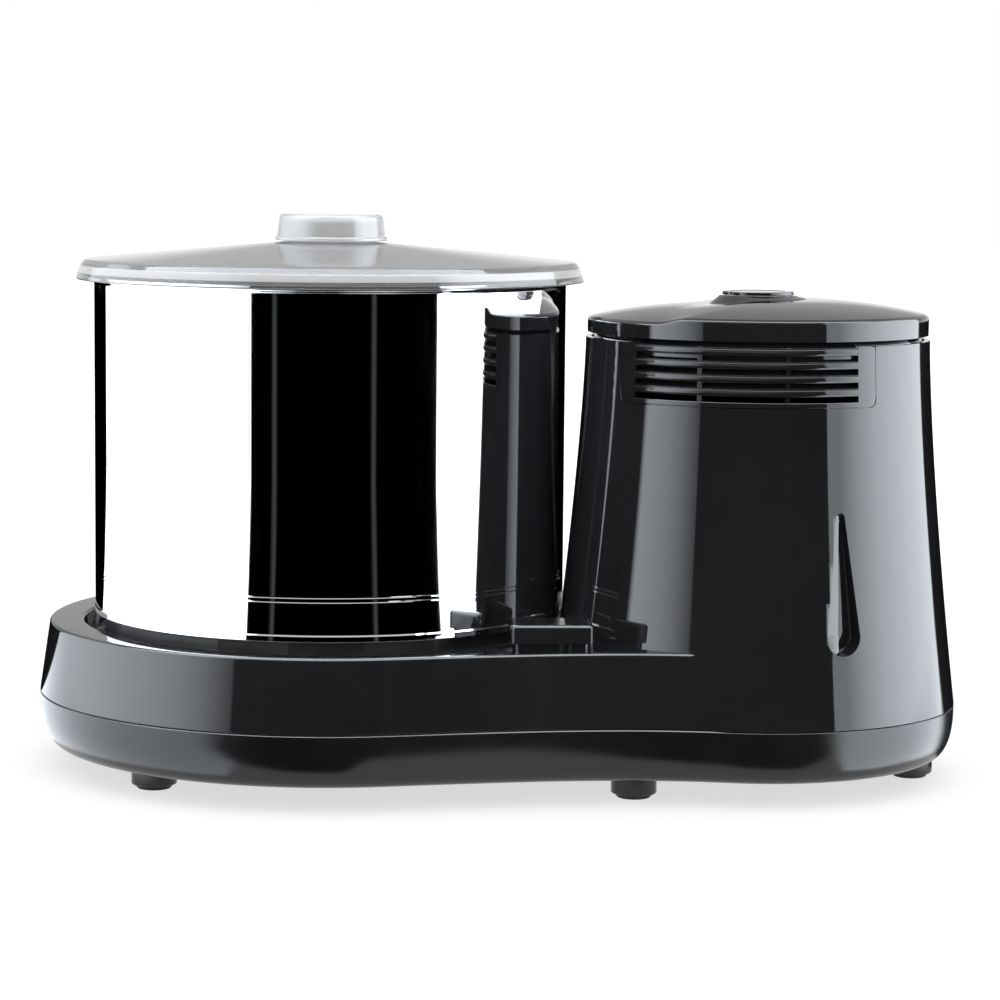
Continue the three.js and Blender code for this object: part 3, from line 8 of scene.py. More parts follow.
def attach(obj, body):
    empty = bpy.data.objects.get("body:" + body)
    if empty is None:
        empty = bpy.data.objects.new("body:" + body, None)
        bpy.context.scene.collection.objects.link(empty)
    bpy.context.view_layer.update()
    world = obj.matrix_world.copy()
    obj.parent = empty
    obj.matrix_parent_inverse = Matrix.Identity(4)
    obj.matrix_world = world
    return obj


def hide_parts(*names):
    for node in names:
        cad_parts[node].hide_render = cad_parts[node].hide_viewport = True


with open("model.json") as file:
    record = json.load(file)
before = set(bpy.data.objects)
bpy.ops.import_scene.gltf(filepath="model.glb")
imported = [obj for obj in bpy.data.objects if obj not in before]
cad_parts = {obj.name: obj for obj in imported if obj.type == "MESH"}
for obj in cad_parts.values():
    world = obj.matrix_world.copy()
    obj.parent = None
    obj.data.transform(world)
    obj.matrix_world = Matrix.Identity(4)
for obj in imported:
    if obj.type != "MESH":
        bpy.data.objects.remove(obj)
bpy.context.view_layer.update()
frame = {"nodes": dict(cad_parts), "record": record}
scene = bpy.context.scene
scene.view_settings.view_transform = "Standard"
mm = 0.001  # every size below is in millimetres
drumX = -80.5
towerX = 123.5
print("frame loaded with", len(frame["nodes"]), "nodes")

# camera: a long lens a little to the right of the switch, looking down on the lids
cameraSet = {"place": (0.180, -1.4772, 0.2917), "turnLeft": 6.872, "dip": 6.299, "roll": 0.544, "lens": 112.46}


def placed(name, data):
    piece = bpy.data.objects.new(name, data)
    scene.collection.objects.link(piece)
    return piece


def addCamera():
    turn, dip, roll = (radians(cameraSet[key]) for key in ("turnLeft", "dip", "roll"))
    ahead = Vector((-sin(turn) * cos(dip), cos(turn) * cos(dip), -sin(dip)))
    right = Vector((cos(turn), sin(turn), 0))
    up = right.cross(ahead)
    across = right * cos(roll) + up * sin(roll)
    above = up * cos(roll) - right * sin(roll)
    data = bpy.data.cameras.new("photoCamera")
    data.lens = cameraSet["lens"]
    data.sensor_width = 36
    camera = placed("photoCamera", data)
    turned = Matrix((across, above, -ahead)).transposed().to_4x4()
    camera.matrix_world = Matrix.Translation(cameraSet["place"]) @ turned
    scene.camera = camera


addCamera()


# node helpers for the finishes
def newNode(tree, kind, inputs):
    # a node with these inputs, each a value or a socket
    node = tree.nodes.new("ShaderNode" + kind)
    for key, value in inputs.items():
        if isinstance(value, bpy.types.NodeSocket):
            tree.links.new(value, node.inputs[key])
        else:
            node.inputs[key].default_value = value
    return node


def newFinish(name):
    finish = bpy.data.materials.new(name)
    finish.use_nodes = True
    tree = finish.node_tree
    body = next(node for node in tree.nodes if node.type == "BSDF_PRINCIPLED")
    return finish, tree, body, newNode(tree, "TexCoord", {}).outputs["Object"]


def stretched(tree, place, scale):
    return newNode(tree, "Mapping", {"Scale": scale, "Vector": place}).outputs["Vector"]


def noise(tree, place, scale, detail=4.0, rough=0.55):
    inputs = {"Scale": scale, "Detail": detail, "Roughness": rough, "Vector": place}
    return newNode(tree, "TexNoise", inputs).outputs["Fac"]


def remapped(tree, value, low, high, newLow=0, newHigh=1):
    inputs = {"Value": value, "From Min": low, "From Max": high, "To Min": newLow, "To Max": newHigh}
    return newNode(tree, "MapRange", inputs).outputs["Result"]


def mixed(tree, factor, first, second, kind="RGBA"):
    # between two colours, or two numbers where the kind is VALUE; either may be a socket
    node = newNode(tree, "Mix", {"Factor": factor})
    node.data_type = "RGBA" if kind == "RGBA" else "FLOAT"
    for key, value in (("A", first), ("B", second)):
        socket = next(s for s in node.inputs if s.name == key and s.type == kind)
        if isinstance(value, bpy.types.NodeSocket):
            tree.links.new(value, socket)
        else:
            socket.default_value = (*value, 1) if kind == "RGBA" else value
    return next(s for s in node.outputs if s.type == kind)


def combined(tree, operation, first, second):
    node = newNode(tree, "Math", {0: first, 1: second})
    node.operation = operation
    return node.outputs[0]


def heightOf(tree, place):
    return newNode(tree, "SeparateXYZ", {"Vector": place}).outputs["Z"]


def bumped(tree, body, height, strength, distance):
    node = newNode(tree, "Bump", {"Strength": strength, "Distance": distance, "Height": height})
    tree.links.new(node.outputs["Normal"], body.inputs["Normal"])


def dressed(tree, body, colour, rough, metal=0):
    tree.links.new(colour, body.inputs["Base Color"])
    tree.links.new(rough, body.inputs["Roughness"])
    body.inputs["Metallic"].default_value = metal


def plainFinish(name, look):
    # two noises: a broad one for wear and a fine one for the moulded or worked grain
    finish, tree, body, place = newFinish(name)
    run = stretched(tree, place, look.get("stretch", (1, 1, 1)))
    broad = noise(tree, run, look["wear"], 5)
    fine = noise(tree, run, look["grain"], 3)
    dressed(tree, body, mixed(tree, remapped(tree, broad, 0.35, 0.65), *look["tones"]),
            remapped(tree, broad, 0.3, 0.7, *look["rough"]), look.get("metal", 0))
    body.inputs["Specular IOR Level"].default_value = look.get("specular", 0.5)
    bumped(tree, body, fine, *look["bump"])
    return finish


# the colour runs between the two tones with the wear; bump is strength and depth
looks = {
    "gloss_black": {
        "tones": ((0.0165, 0.0167, 0.019), (0.0215, 0.0217, 0.0245)), "rough": (0.03, 0.07),
        "wear": 14, "grain": 160, "bump": (0.012, 0.0004),
    },
    "pan_black": {
        "tones": ((0.0095, 0.0096, 0.0108), (0.0135, 0.0137, 0.0155)), "rough": (0.16, 0.26),
        "wear": 20, "grain": 1800, "bump": (0.16, 0.0003),
    },
    "foot_rubber": {
        "tones": ((0.018, 0.018, 0.019), (0.036, 0.036, 0.037)), "rough": (0.5, 0.72),
        "wear": 60, "grain": 1500, "bump": (0.3, 0.0003), "specular": 0.35,
    },
    "plain_steel": {
        "tones": ((0.36, 0.365, 0.375), (0.56, 0.565, 0.575)), "rough": (0.2, 0.38),
        "wear": 30, "grain": 500, "bump": (0.1, 0.0002), "metal": 1, "stretch": (1, 1, 9),
    },
    "cast_aluminium": {
        "tones": ((0.42, 0.425, 0.43), (0.62, 0.625, 0.63)), "rough": (0.38, 0.56),
        "wear": 40, "grain": 900, "bump": (0.35, 0.0004), "metal": 1,
    },
    "white_nylon": {
        "tones": ((0.66, 0.645, 0.59), (0.76, 0.745, 0.69)), "rough": (0.36, 0.5),
        "wear": 26, "grain": 900, "bump": (0.12, 0.0002),
    },
    "dark_moulding": {
        "tones": ((0.022, 0.022, 0.024), (0.04, 0.04, 0.043)), "rough": (0.34, 0.5),
        "wear": 30, "grain": 1300, "bump": (0.2, 0.0003),
    },
}

steelLook = {
    "tones": ((0.925, 0.927, 0.93), (0.975, 0.977, 0.98)), "rough": (0.012, 0.05), "marks": 260,
    "markRun": (1, 1, 0.06), "waves": 9, "waveBump": (0.006, 0.004),
}


def polishedSteel():
    # long upright buffing marks, and a very slight waviness of the drawn sheet
    finish, tree, body, place = newFinish("polishedSteel")
    look = steelLook
    marks = noise(tree, stretched(tree, place, look["markRun"]), look["marks"], 6, 0.6)
    dressed(tree, body, mixed(tree, remapped(tree, marks, 0.3, 0.7), *look["tones"]),
            remapped(tree, marks, 0.3, 0.75, *look["rough"]), 1)
    bumped(tree, body, noise(tree, place, look["waves"], 2), *look["waveBump"])
    return finish


graniteLook = {
    "base": (0.10, 0.10, 0.105), "cloud": (0.2, 0.2, 0.205), "pale": (0.42, 0.42, 0.41),
    "speck": (0.018, 0.018, 0.02), "grain": 330, "clouds": 45, "pits": 700, "rough": (0.4, 0.75),
    "bump": (0.35, 0.0004),
}


def granite():
    # pale and dark grains over a cloudy grey
    look = graniteLook
    finish, tree, body, place = newFinish("granite")
    cells = newNode(tree, "TexVoronoi", {"Scale": look["grain"], "Vector": place})
    split = newNode(tree, "SeparateColor", {"Color": cells.outputs["Color"]})
    grey = mixed(tree, remapped(tree, noise(tree, place, look["clouds"], 5), 0.35, 0.65), look["base"], look["cloud"])
    pale = mixed(tree, remapped(tree, split.outputs["Red"], 0.72, 0.82), grey, look["pale"])
    dark = mixed(tree, remapped(tree, split.outputs["Green"], 0.74, 0.8), pale, look["speck"])
    dressed(tree, body, dark, remapped(tree, split.outputs["Blue"], 0, 1, *look["rough"]))
    bumped(tree, body, noise(tree, place, look["pits"], 4), *look["bump"])
    return finish


clearLook = {
    "lid": {
        "clear": 0.62, "skirtClear": 0.94, "tones": ((0.43, 0.432, 0.436), (0.50, 0.502, 0.506)),
        # band is the near-white colour of a painted highlight along the upper half of the skirt
        "creaseAt": (0.2375, 0.2395), "band": (0.93, 0.935, 0.94), "bandClear": 0.25,
        "bandFoot": (0.2349, 0.2354), "bandTop": (0.2384, 0.2389),
    },
    "knob": {"clear": 0.62, "tones": ((0.96, 0.965, 0.97), (0.985, 0.99, 0.995))},
    "rough": (0.03, 0.11), "refraction": 1.49, "flow": 12, "flowBump": (0.04, 0.001), "scratches": 220,
    "scratchRun": (1, 6, 1),
}


def clearPlastic(name, look):
    # clear moulding with faint haze, flow marks and fine wiping scratches
    finish, tree, body, place = newFinish(name)
    flow = noise(tree, place, clearLook["flow"], 4)
    colour = mixed(tree, remapped(tree, flow, 0.35, 0.65), *look["tones"])
    scratches = noise(tree, stretched(tree, place, clearLook["scratchRun"]), clearLook["scratches"], 6, 0.7)
    body.inputs["Transmission Weight"].default_value = look["clear"]
    if "band" in look:  # the skirt is clearer than the cone, with a painted highlight round its upper half: a near-white band that lets less light through
        height = heightOf(tree, place)
        skirt = remapped(tree, height, *look["creaseAt"], look["skirtClear"], look["clear"])
        inHighlightBand = combined(tree, "MULTIPLY", remapped(tree, height, *look["bandFoot"]),
                          remapped(tree, height, *look["bandTop"], 1, 0))
        tree.links.new(mixed(tree, inHighlightBand, skirt, look["bandClear"], "VALUE"), body.inputs["Transmission Weight"])
        # the colour turns near-white inside the band: a painted highlight along the lid's crease
        colour = mixed(tree, inHighlightBand, colour, look["band"])
    dressed(tree, body, colour, remapped(tree, scratches, 0.35, 0.8, *clearLook["rough"]))
    body.inputs["IOR"].default_value = clearLook["refraction"]
    bumped(tree, body, flow, *clearLook["flowBump"])
    return finish


def layered(name, look, bands, bandDepth):
    # fine rings one above the other: stamped sheets or wound wire
    finish, tree, body, place = newFinish(name)
    wave = newNode(tree, "TexWave", {"Scale": bands, "Distortion": look["drift"], "Vector": place})
    wave.bands_direction = "Z"
    dressed(tree, body, mixed(tree, wave.outputs["Fac"], *look["tones"]),
            remapped(tree, noise(tree, place, 90), 0.3, 0.7, 0.3, 0.55), 1)
    bumped(tree, body, wave.outputs["Fac"], 0.5, bandDepth)
    return finish


finishes = {slot: plainFinish(slot.replace("_", "") + "Finish", look) for slot, look in looks.items()}
finishes["polished_steel"] = polishedSteel()
finishes["granite"] = granite()
finishes["clear_plastic"] = clearPlastic("clearLidPlastic", clearLook["lid"])
knobFinish = clearPlastic("clearKnobPlastic", clearLook["knob"])
finishes["copper_wire"] = layered(
    "copperWinding", {"tones": ((0.19, 0.06, 0.025), (0.62, 0.26, 0.12)), "drift": 1.5}, 190, 0.0006)
finishes["lamination_steel"] = layered(
    "laminations", {"tones": ((0.09, 0.095, 0.1), (0.3, 0.31, 0.32)), "drift": 0.1}, 320, 0.0002)
print("finishes made:", len(finishes))


# mesh helpers: sections of points, skinned into closed shells
def evenly(first, last, count):
    return [first + (last - first) * i / count for i in range(count + 1)]


def spread(first, last, step):
    return evenly(first, last, max(2, ceil(abs(last - first) / step)))


def eased(corners, steps, closed=True):
    # rounds the corners that carry a third number, their radius
    count = len(corners)
    outline = []
    for i, corner in enumerate(corners):
        point = Vector(corner[:2])
        radius = corner[2] if len(corner) > 2 else 0
        if radius <= 0 or (not closed and i in (0, count - 1)):
            outline.append(point)
            continue
        back = Vector(corners[i - 1][:2]) - point
        on = Vector(corners[(i + 1) % count][:2]) - point
        half = back.angle(on) / 2
        reach = min(radius / tan(half), back.length * 0.49, on.length * 0.49)
        radius = reach * tan(half)
        back.normalize()
        on.normalize()
        centre = point + (back + on).normalized() * (radius / sin(half))
        first, last = point + back * reach - centre, point + on * reach - centre
        begin = atan2(first.y, first.x)
        sweep = remainder(atan2(last.y, last.x) - begin, tau)
        outline += [centre + Vector((cos(begin + a), sin(begin + a))) * radius for a in evenly(0, sweep, steps)]
    return outline


def pieceOf(name, work):
    mesh = bpy.data.meshes.new(name)
    work.to_mesh(mesh)
    work.free()
    return placed(name, mesh)


def skinned(name, sections, loop=False):
    # sections are point lists of one length; the ends are capped unless they close in a loop
    count = len(sections[0])
    work = bmesh.new()
    rows = [[work.verts.new(Vector(point) * mm) for point in section] for section in sections]
    pairs = list(zip(rows, rows[1:])) + ([(rows[-1], rows[0])] if loop else [])
    for low, high in pairs:
        for i in range(count):
            work.faces.new((low[i], low[(i + 1) % count], high[(i + 1) % count], high[i]))
    if not loop:
        work.faces.new(list(reversed(rows[0])))
        work.faces.new(rows[-1])
    bmesh.ops.remove_doubles(work, verts=work.verts, dist=1e-7)
    bmesh.ops.dissolve_degenerate(work, edges=work.edges, dist=1e-7)
    bmesh.ops.recalc_face_normals(work, faces=work.faces)
    return pieceOf(name, work)


def turned(name, corners, sides, steps, placeAt):
    # a closed outline of radius and height, turned round an axis
    outline = eased(corners, steps)
    angles = [tau * i / sides for i in range(sides)]
    return skinned(name, [[placeAt(p.x * cos(a), p.x * sin(a), p.y) for p in outline] for a in angles], loop=True)


def turnedShape(name, corners, sides, axis=(drumX, 0), steps=6):
    # round an upright axis
    return turned(name, corners, sides, steps, lambda x, y, z: (axis[0] + x, axis[1] + y, z))


def turnedAlongY(name, corners, side, height, sides, axisX=drumX, centreY=0.0):
    # round a level axis that runs towards the front (side -1) or the back (side 1)
    return turned(name, corners, sides, 5, lambda x, z, y: (axisX + x, centreY + side * y, height + z))


def carve(piece, tool, kind="DIFFERENCE"):
    step = piece.modifiers.new("carve", "BOOLEAN")
    step.operation = kind
    step.solver = "MANIFOLD"
    step.object = tool
    done = bpy.data.meshes.new_from_object(piece.evaluated_get(bpy.context.evaluated_depsgraph_get()))
    if len(done.polygons) < 4:
        raise ValueError("nothing left of " + piece.name + " after " + tool.name)
    piece.modifiers.clear()
    piece.data = done
    bpy.data.objects.remove(tool)


def joinedUp(name, pieces):
    work = bmesh.new()
    for piece in pieces:
        work.from_mesh(piece.data)
        bpy.data.objects.remove(piece)
    return pieceOf(name, work)


def settle(piece, slotName, bodyName, *standsFor, sharp=32, finish=None):
    # smooth shading up to the sharp angle, the finish, the body that carries it and the nodes it stands for
    mesh = piece.data
    mesh.materials.clear()
    mesh.materials.append(finish or finishes[slotName])
    mesh.polygons.foreach_set("use_smooth", [True] * len(mesh.polygons))
    mesh.set_sharp_from_angle(angle=radians(sharp))
    weighted = piece.modifiers.new("evenNormals", "WEIGHTED_NORMAL")
    weighted.keep_sharp = True
    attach(piece, bodyName)
    if standsFor:
        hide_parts(*standsFor)


# base: outline, tower wall and the housing moulding
baseSet = {
    "drumArc": 138.95, "towerArc": 96, "waistDrumAngle": 20, "waistTowerAngle": 3, "waistDrumReach": 62,
    "waistTowerReach": 50, "seam": 36, "deck": 69.7, "towerTop": 207.5, "wall": 2.6, "lean": 5, "edgeRound": 1.7,
    "towerTopRadius": 80.8, "flare": 1.38, "tuck": 1.2, "wellRadius": 117.4, "wellFloor": 58, "lipRound": 1.8,
    "scoop": 114.4, "bearingHole": 19.3, "bearingSpan": (50, 64), "glandRadius": 5.9, "glandReach": 12,
    "glandHeight": 52, "glandSeat": 57.6, "towerSides": 288,
}


def pointRound(centreX, radius, angle):
    return Vector((centreX + radius * cos(angle), radius * sin(angle)))


def baseOutline(towerArc, arcStep=2.0, waistSteps=48):
    # anticlockwise from the far left: round the drum, through the waist, round the tower, and mirrored back
    b = baseSet
    drumEnd = 270 + b["waistDrumAngle"]
    front = [pointRound(drumX, b["drumArc"], radians(angle))
             for angle in evenly(180, drumEnd, round((drumEnd - 180) / arcStep))]
    start = radians(270 - b["waistTowerAngle"])
    leave, arrive = front[-1], pointRound(towerX, towerArc, start)
    a, c = radians(b["waistDrumAngle"]), radians(b["waistTowerAngle"])
    pullOne = leave + Vector((cos(a), sin(a))) * b["waistDrumReach"]
    pullTwo = arrive + Vector((-cos(c), sin(c))) * b["waistTowerReach"]
    for i in range(1, waistSteps):
        t = i / waistSteps
        front.append(leave * (1 - t) ** 3 + pullOne * 3 * t * (1 - t) ** 2
                     + pullTwo * 3 * t * t * (1 - t) + arrive * t ** 3)
    front += [pointRound(towerX, towerArc, angle)
              for angle in evenly(start, tau, round((360 - degrees(start)) / arcStep))]
    return front + [Vector((p.x, -p.y)) for p in reversed(front[1:-1])]


def ringAt(outline, inset, height):
    # the outline drawn in by the inset, at a height
    count = len(outline)
    ring = []
    for i, point in enumerate(outline):
        run = (outline[(i + 1) % count] - outline[i - 1]).normalized()
        ring.append((point.x - run.y * inset, point.y + run.x * inset, height))
    return ring


def towerRadius(height):
    b = baseSet
    share = min(max((height - b["seam"]) / (b["towerTop"] - b["seam"]), 0), 1)
    return b["towerTopRadius"] + (b["towerArc"] - b["towerTopRadius"]) * (1 - share) ** b["flare"]


def towerShape(name, inset, bottom, top, levels=48):
    wall = [(towerRadius(z) - inset, z) for z in evenly(bottom, top, levels)]
    return turnedShape(name, [(0, bottom), *wall, (0, top)], baseSet["towerSides"], (towerX, 0))


def discShape(name, radius, bottom, top, axis=(drumX, 0), sides=256):
    return turnedShape(name, [(0, bottom), (radius, bottom), (radius, top), (0, top)], sides, axis)


# vents: louvred inserts at the front and the back of the tower, turned a little towards the drum
ventSet = {
    "half": 45.6, "slotHalf": 38.4, "turn": 2, "bottom": 180, "slotBottom": 182.7, "pitch": 6.1, "opening": 2.6,
    "slats": 4, "seat": 1.5, "slatDepth": 2.3, "finDepth": 5.6, "finRise": 5.4, "proud": 0.9, "lip": 0.4,
    "cornerRound": 3.6, "gap": 0.3, "uprightAt": 14.3, "uprightHalf": 0.8, "uprightDepth": 1.9, "step": 0.9,
    "edgeSet": 0.25, "openingSide": 0.8, "openingFoot": 1.4, "openingDepth": 6,
}


def towerSection(angle, points):
    # points of tower radius and height, placed at an angle round the tower
    turn = radians(angle)
    return [(towerX + r * cos(turn), r * sin(turn), z) for r, z in points]


def sweptRound(name, outline, middle, half, step):
    # an outline of radius and height, swept along the tower wall
    return skinned(name, [towerSection(middle + offset, outline) for offset in spread(-half, half, step)])


def cornerLift(offset, half, rounding):
    # how far the lower edge of the insert rises near its rounded corner
    room = radians(half - abs(offset)) * baseSet["towerTopRadius"]
    if room >= rounding:
        return 0
    return rounding - sqrt(max(rounding ** 2 - (rounding - max(room, 0)) ** 2, 0))


def ventWindow(name, middle, half, bottom, depth, rounding):
    sections = []
    top = baseSet["towerTop"] + 4
    for offset in spread(-half, half, 0.45):
        low = bottom + cornerLift(offset, half, rounding)
        levels = evenly(low, top, 12)
        inside = [(towerRadius(z) - depth, z) for z in reversed(levels)]
        outside = [(towerRadius(z) + 6, z) for z in levels]
        sections.append(towerSection(middle + offset, outside + inside))
    return skinned(name, sections)


def ventInsert(name, middle):
    v = ventSet
    top = baseSet["towerTop"] - v["gap"]
    half = v["half"] - degrees(v["gap"] / baseSet["towerTopRadius"])
    parts = []
    for side in (-1, 1):  # the two blank ends, with their rounded lower corners
        sections = []
        for offset in spread(v["slotHalf"], half, 0.3):
            low = v["bottom"] + v["gap"] + cornerLift(offset, half, v["cornerRound"] - v["gap"])
            levels = evenly(low, top, 10)
            outside = [(towerRadius(z) - (v["edgeSet"] if i in (0, 10) else 0), z) for i, z in enumerate(levels)]
            inside = [(towerRadius(z) - v["seat"] + v["gap"], z) for z in reversed(levels)]
            sections.append(towerSection(middle + side * offset, outside + inside))
        parts.append(skinned(name + "End", sections))
    low, high = v["bottom"] + v["gap"], v["slotBottom"]
    sill = eased([
        (towerRadius(low) - v["seat"] + v["gap"], low), (towerRadius(low), low, 0.3),
        (towerRadius(high), high, 0.5), (towerRadius(high) - v["seat"] + v["gap"], high)], 4)
    parts.append(sweptRound(name + "Sill", sill, middle, v["slotHalf"], v["step"]))
    for row in range(1, v["slats"] + 1):
        slatTop = v["slotBottom"] + row * v["pitch"]
        slatLow = slatTop - (v["pitch"] - v["opening"])
        outer = towerRadius(slatTop)
        lip, root, fin, finLow = outer + v["lip"], outer - v["slatDepth"], outer - v["finDepth"], slatLow + v["finRise"]
        slat = eased([
            (fin, finLow), (root, slatLow, 0.6), (outer + v["proud"] * 0.5, slatLow + 0.1, 0.4),
            (outer + v["proud"], slatLow + v["proud"] + 0.2, 1.2), (lip + 0.1, slatTop - 0.75, 0.3),
            (outer - 0.25, slatTop - 0.55, 0.2), (lip, slatTop - 0.05, 0.15), (lip - 0.35, slatTop, 0.15),
            (root + 0.6, slatTop, 0.4), (fin - 0.4, finLow + 1)], 4)
        parts.append(sweptRound(name + "Slat", slat, middle, v["slotHalf"], v["step"]))
    back = towerRadius(v["slotBottom"] + v["slats"] * v["pitch"]) - v["slatDepth"]
    front, foot = back + v["uprightDepth"], v["slotBottom"] - 0.2
    bar = eased([(back, foot), (front, foot, 0.2), (front, top, 0.2), (back, top)], 3)
    for side in (-1, 1):
        parts.append(sweptRound(name + "Bar", bar, middle + side * v["uprightAt"], v["uprightHalf"], 0.4))
    return joinedUp(name, parts)


# grips: drop-shaped finger recesses, square into the tower wall
gripSet = {
    "angle": 29, "width": 17.5, "bottom": 69, "top": 149, "depth": 9,
    # from floor to mouth: how far out, how much of the width is left (0.5 is the steep half) and the inset
    "levels": ((0, 0.5, 1.0), (0.1, 0.52, 0.3), (0.5, 0.55, 0), (0.76, 0.585, 0), (0.81, 0.64, 0), (1, 1, 0)),
}


def gripShape(name, side, grow, extraDepth):
    # the wall towards the far end stays steep, and the other one slopes in from the mouth
    g = gripSet
    radius = g["width"] / 2 + grow
    centre = g["bottom"] + g["width"] / 2
    tip = g["top"] + grow
    lean = acos(radius / (tip - centre))
    begin, end = pi / 2 + lean, pi * 2.5 - lean
    bulb = [(radius * cos(a), centre + radius * sin(a)) for a in evenly(begin, end, 36)]
    outline = eased([(0, tip, 2.2)] + bulb, 6)
    deep = towerRadius(centre) - g["depth"] - extraDepth
    turn = radians(g["angle"] - 90)
    ahead = Vector((cos(turn), sin(turn)))
    across = Vector((-ahead.y, ahead.x))
    sections = []
    for share, left, inset in (*g["levels"], (1.4, 1, 0)):
        ring = []
        shrink = 1 - inset / radius
        for p in outline:
            x = p.x if p.x >= 0 else -p.x * (1 - 2 * left)
            height = centre + (p.y - centre) * shrink
            place = ahead * (deep + share * (towerRadius(height) - deep)) + across * x * shrink
            ring.append((towerX + place.x, -side * place.y, height))
        sections.append(ring)
    return skinned(name, sections)


# power switch: pedestal on the deck and the rocking paddle over it
switchSet = {
    "frontX": 118.6, "frontY": -96.2, "turn": 10, "width": 38, "depth": 25, "skirt": 73.4, "top": 82, "wall": 1.4,
    "corner": 3, "round": 2.0, "pedestalTop": 76.6, "sideGap": 0.5, "rockGap": 1.3,
    "roof": 2.6, "ribs": (3.9, 7.9), "ribWidth": 1.2, "ribProud": 0.9,
}


def atSwitch(x, y):
    s = switchSet
    turn = radians(s["turn"])
    centreX = drumX + s["frontX"] - s["depth"] / 2 * sin(turn)
    centreY = s["frontY"] + s["depth"] / 2 * cos(turn)
    return centreX + x * cos(turn) - y * sin(turn), centreY + x * sin(turn) + y * cos(turn)


def blockShape(name, width, depth, corner, levels, steps=5):
    # levels pair a height with how far the outline is drawn in there
    sections = []
    for height, inset in levels:
        w, d = width / 2 - inset, depth / 2 - inset
        r = max(corner - inset, 0.25)
        outline = eased([(-w, -d, r), (w, -d, r), (w, d, r), (-w, d, r)], steps)
        sections.append([(*atSwitch(p.x, p.y), height) for p in outline])
    return skinned(name, sections)


def edgeLevels(bottom, top, rounding, steps, lower=0.0):
    # up a wall, with a small lean at its foot, and over the rounded upper edge
    foot = [(bottom, lower)] + ([(bottom + lower, 0)] if lower else [])
    edge = [(top - rounding + rounding * sin(a), rounding * (1 - cos(a))) for a in evenly(0, pi / 2, steps)]
    return foot + edge + [(top, rounding + 0.4)]


def pedestalShape(name, bottom):
    s = switchSet
    inner = s["wall"] + s["sideGap"]
    return blockShape(name, s["width"] - 2 * inner, s["depth"] - 2 * (s["wall"] + s["rockGap"]), s["corner"],
                      edgeLevels(bottom, s["pedestalTop"], 0.5, 3))


def buildHousing():
    b, v = baseSet, ventSet
    seam, deck, wall, well, lipRound = b["seam"], b["deck"], b["wall"], b["wellRadius"], b["lipRound"]
    outline = baseOutline(b["towerArc"] - b["tuck"])
    flank = eased([(9, seam), (0, seam, 0.5), (b["lean"], deck, b["edgeRound"]), (13, deck)], 7, False)
    housing = skinned("baseHousing", [ringAt(outline, p.x, p.y) for p in flank])
    lip = [(well + lipRound * (1 - cos(radians(a))), deck - lipRound + lipRound * sin(radians(a)))
           for a in range(0, 91, 10)]
    carve(housing, turnedShape("wellTool", [
        (0, b["wellFloor"]), (well, b["wellFloor"], 1.2), *lip, (lip[-1][0], deck + 5), (0, deck + 5)], 288))
    tower = towerShape("towerTool", 0, seam, b["towerTop"])
    carve(tower, discShape("scoopTool", b["scoop"], deck - 4, b["towerTop"] + 3))
    carve(tower, discShape("wellCut", well, b["wellFloor"], deck))
    carve(housing, tower, "UNION")
    carve(housing, pedestalShape("pedestalTool", deck - wall), "UNION")
    # everything hollow, taken out in one go so that the walls stay even
    hollow = skinned("hollowTool", [ringAt(outline, wall, seam - 2), ringAt(outline, b["lean"] + wall, deck - wall)])
    towerHollow = towerShape("towerHollow", wall, seam - 2, b["towerTop"] + 2, 24)
    carve(towerHollow, discShape("scoopWall", b["scoop"] + wall, deck - 6, b["towerTop"] + 4))
    carve(hollow, towerHollow, "UNION")
    carve(hollow, discShape("wellCup", well + wall, b["wellFloor"] - wall, deck + 1))
    for side in (-1, 1):
        carve(hollow, gripShape("gripLining", side, wall, wall))
    carve(housing, hollow)
    for side in (-1, 1):
        middle = side * (90 + v["turn"])
        carve(housing, gripShape("gripTool", side, 0, 0))
        carve(housing, ventWindow("ventSeat", middle, v["half"], v["bottom"], v["seat"], v["cornerRound"]))
        carve(housing, ventWindow("ventOpening", middle, v["slotHalf"] + v["openingSide"],
                                  v["slotBottom"] - v["openingFoot"], v["openingDepth"], 0))
    carve(housing, discShape("bearingTool", b["bearingHole"], *b["bearingSpan"], sides=96))
    bore, reach = b["glandRadius"], b["glandReach"]
    carve(housing, turnedAlongY("glandTool", [(0, -reach), (bore, -reach), (bore, reach), (0, reach)], 1,
                                b["glandHeight"], 48, towerX, towerRadius(b["glandSeat"])))
    settle(housing, "gloss_black", "base", "base_housing")


buildHousing()
for word, side in (("Front", -1), ("Back", 1)):
    vent = ventInsert("ventInsert" + word, side * (90 + ventSet["turn"]))
    settle(vent, "gloss_black", "base", "vent_grille_" + word.lower(), sharp=40)
print("housing and vents built")


def pedestalRibs():
    s = switchSet
    half = s["ribWidth"] / 2
    face = -(s["depth"] / 2 - s["wall"] - s["rockGap"])
    front = face - s["ribProud"]
    parts = []
    for x in s["ribs"]:
        outline = eased([
            (x - half, front, 0.3), (x + half, front, 0.3), (x + half, face + 0.6), (x - half, face + 0.6)], 4)
        parts.append(skinned("rib", [
            [(*atSwitch(p.x, p.y), z) for p in outline] for z in (baseSet["deck"] - 0.5, s["skirt"] + 1.2)]))
    settle(joinedUp("pedestalRibs", parts), "gloss_black", "base")


def powerPaddle():
    s = switchSet
    paddle = blockShape("powerPaddle", s["width"], s["depth"], s["corner"],
                        edgeLevels(s["skirt"], s["top"], s["round"], 6, 0.3), 8)
    carve(paddle, blockShape("paddleHollow", s["width"] - 2 * s["wall"], s["depth"] - 2 * s["wall"],
                             s["corner"] - s["wall"], [(s["skirt"] - 2, 0), (s["top"] - s["roof"], 0)]))
    settle(paddle, "gloss_black", "power_switch", "power_paddle")


pedestalRibs()
powerPaddle()
print("switch built")

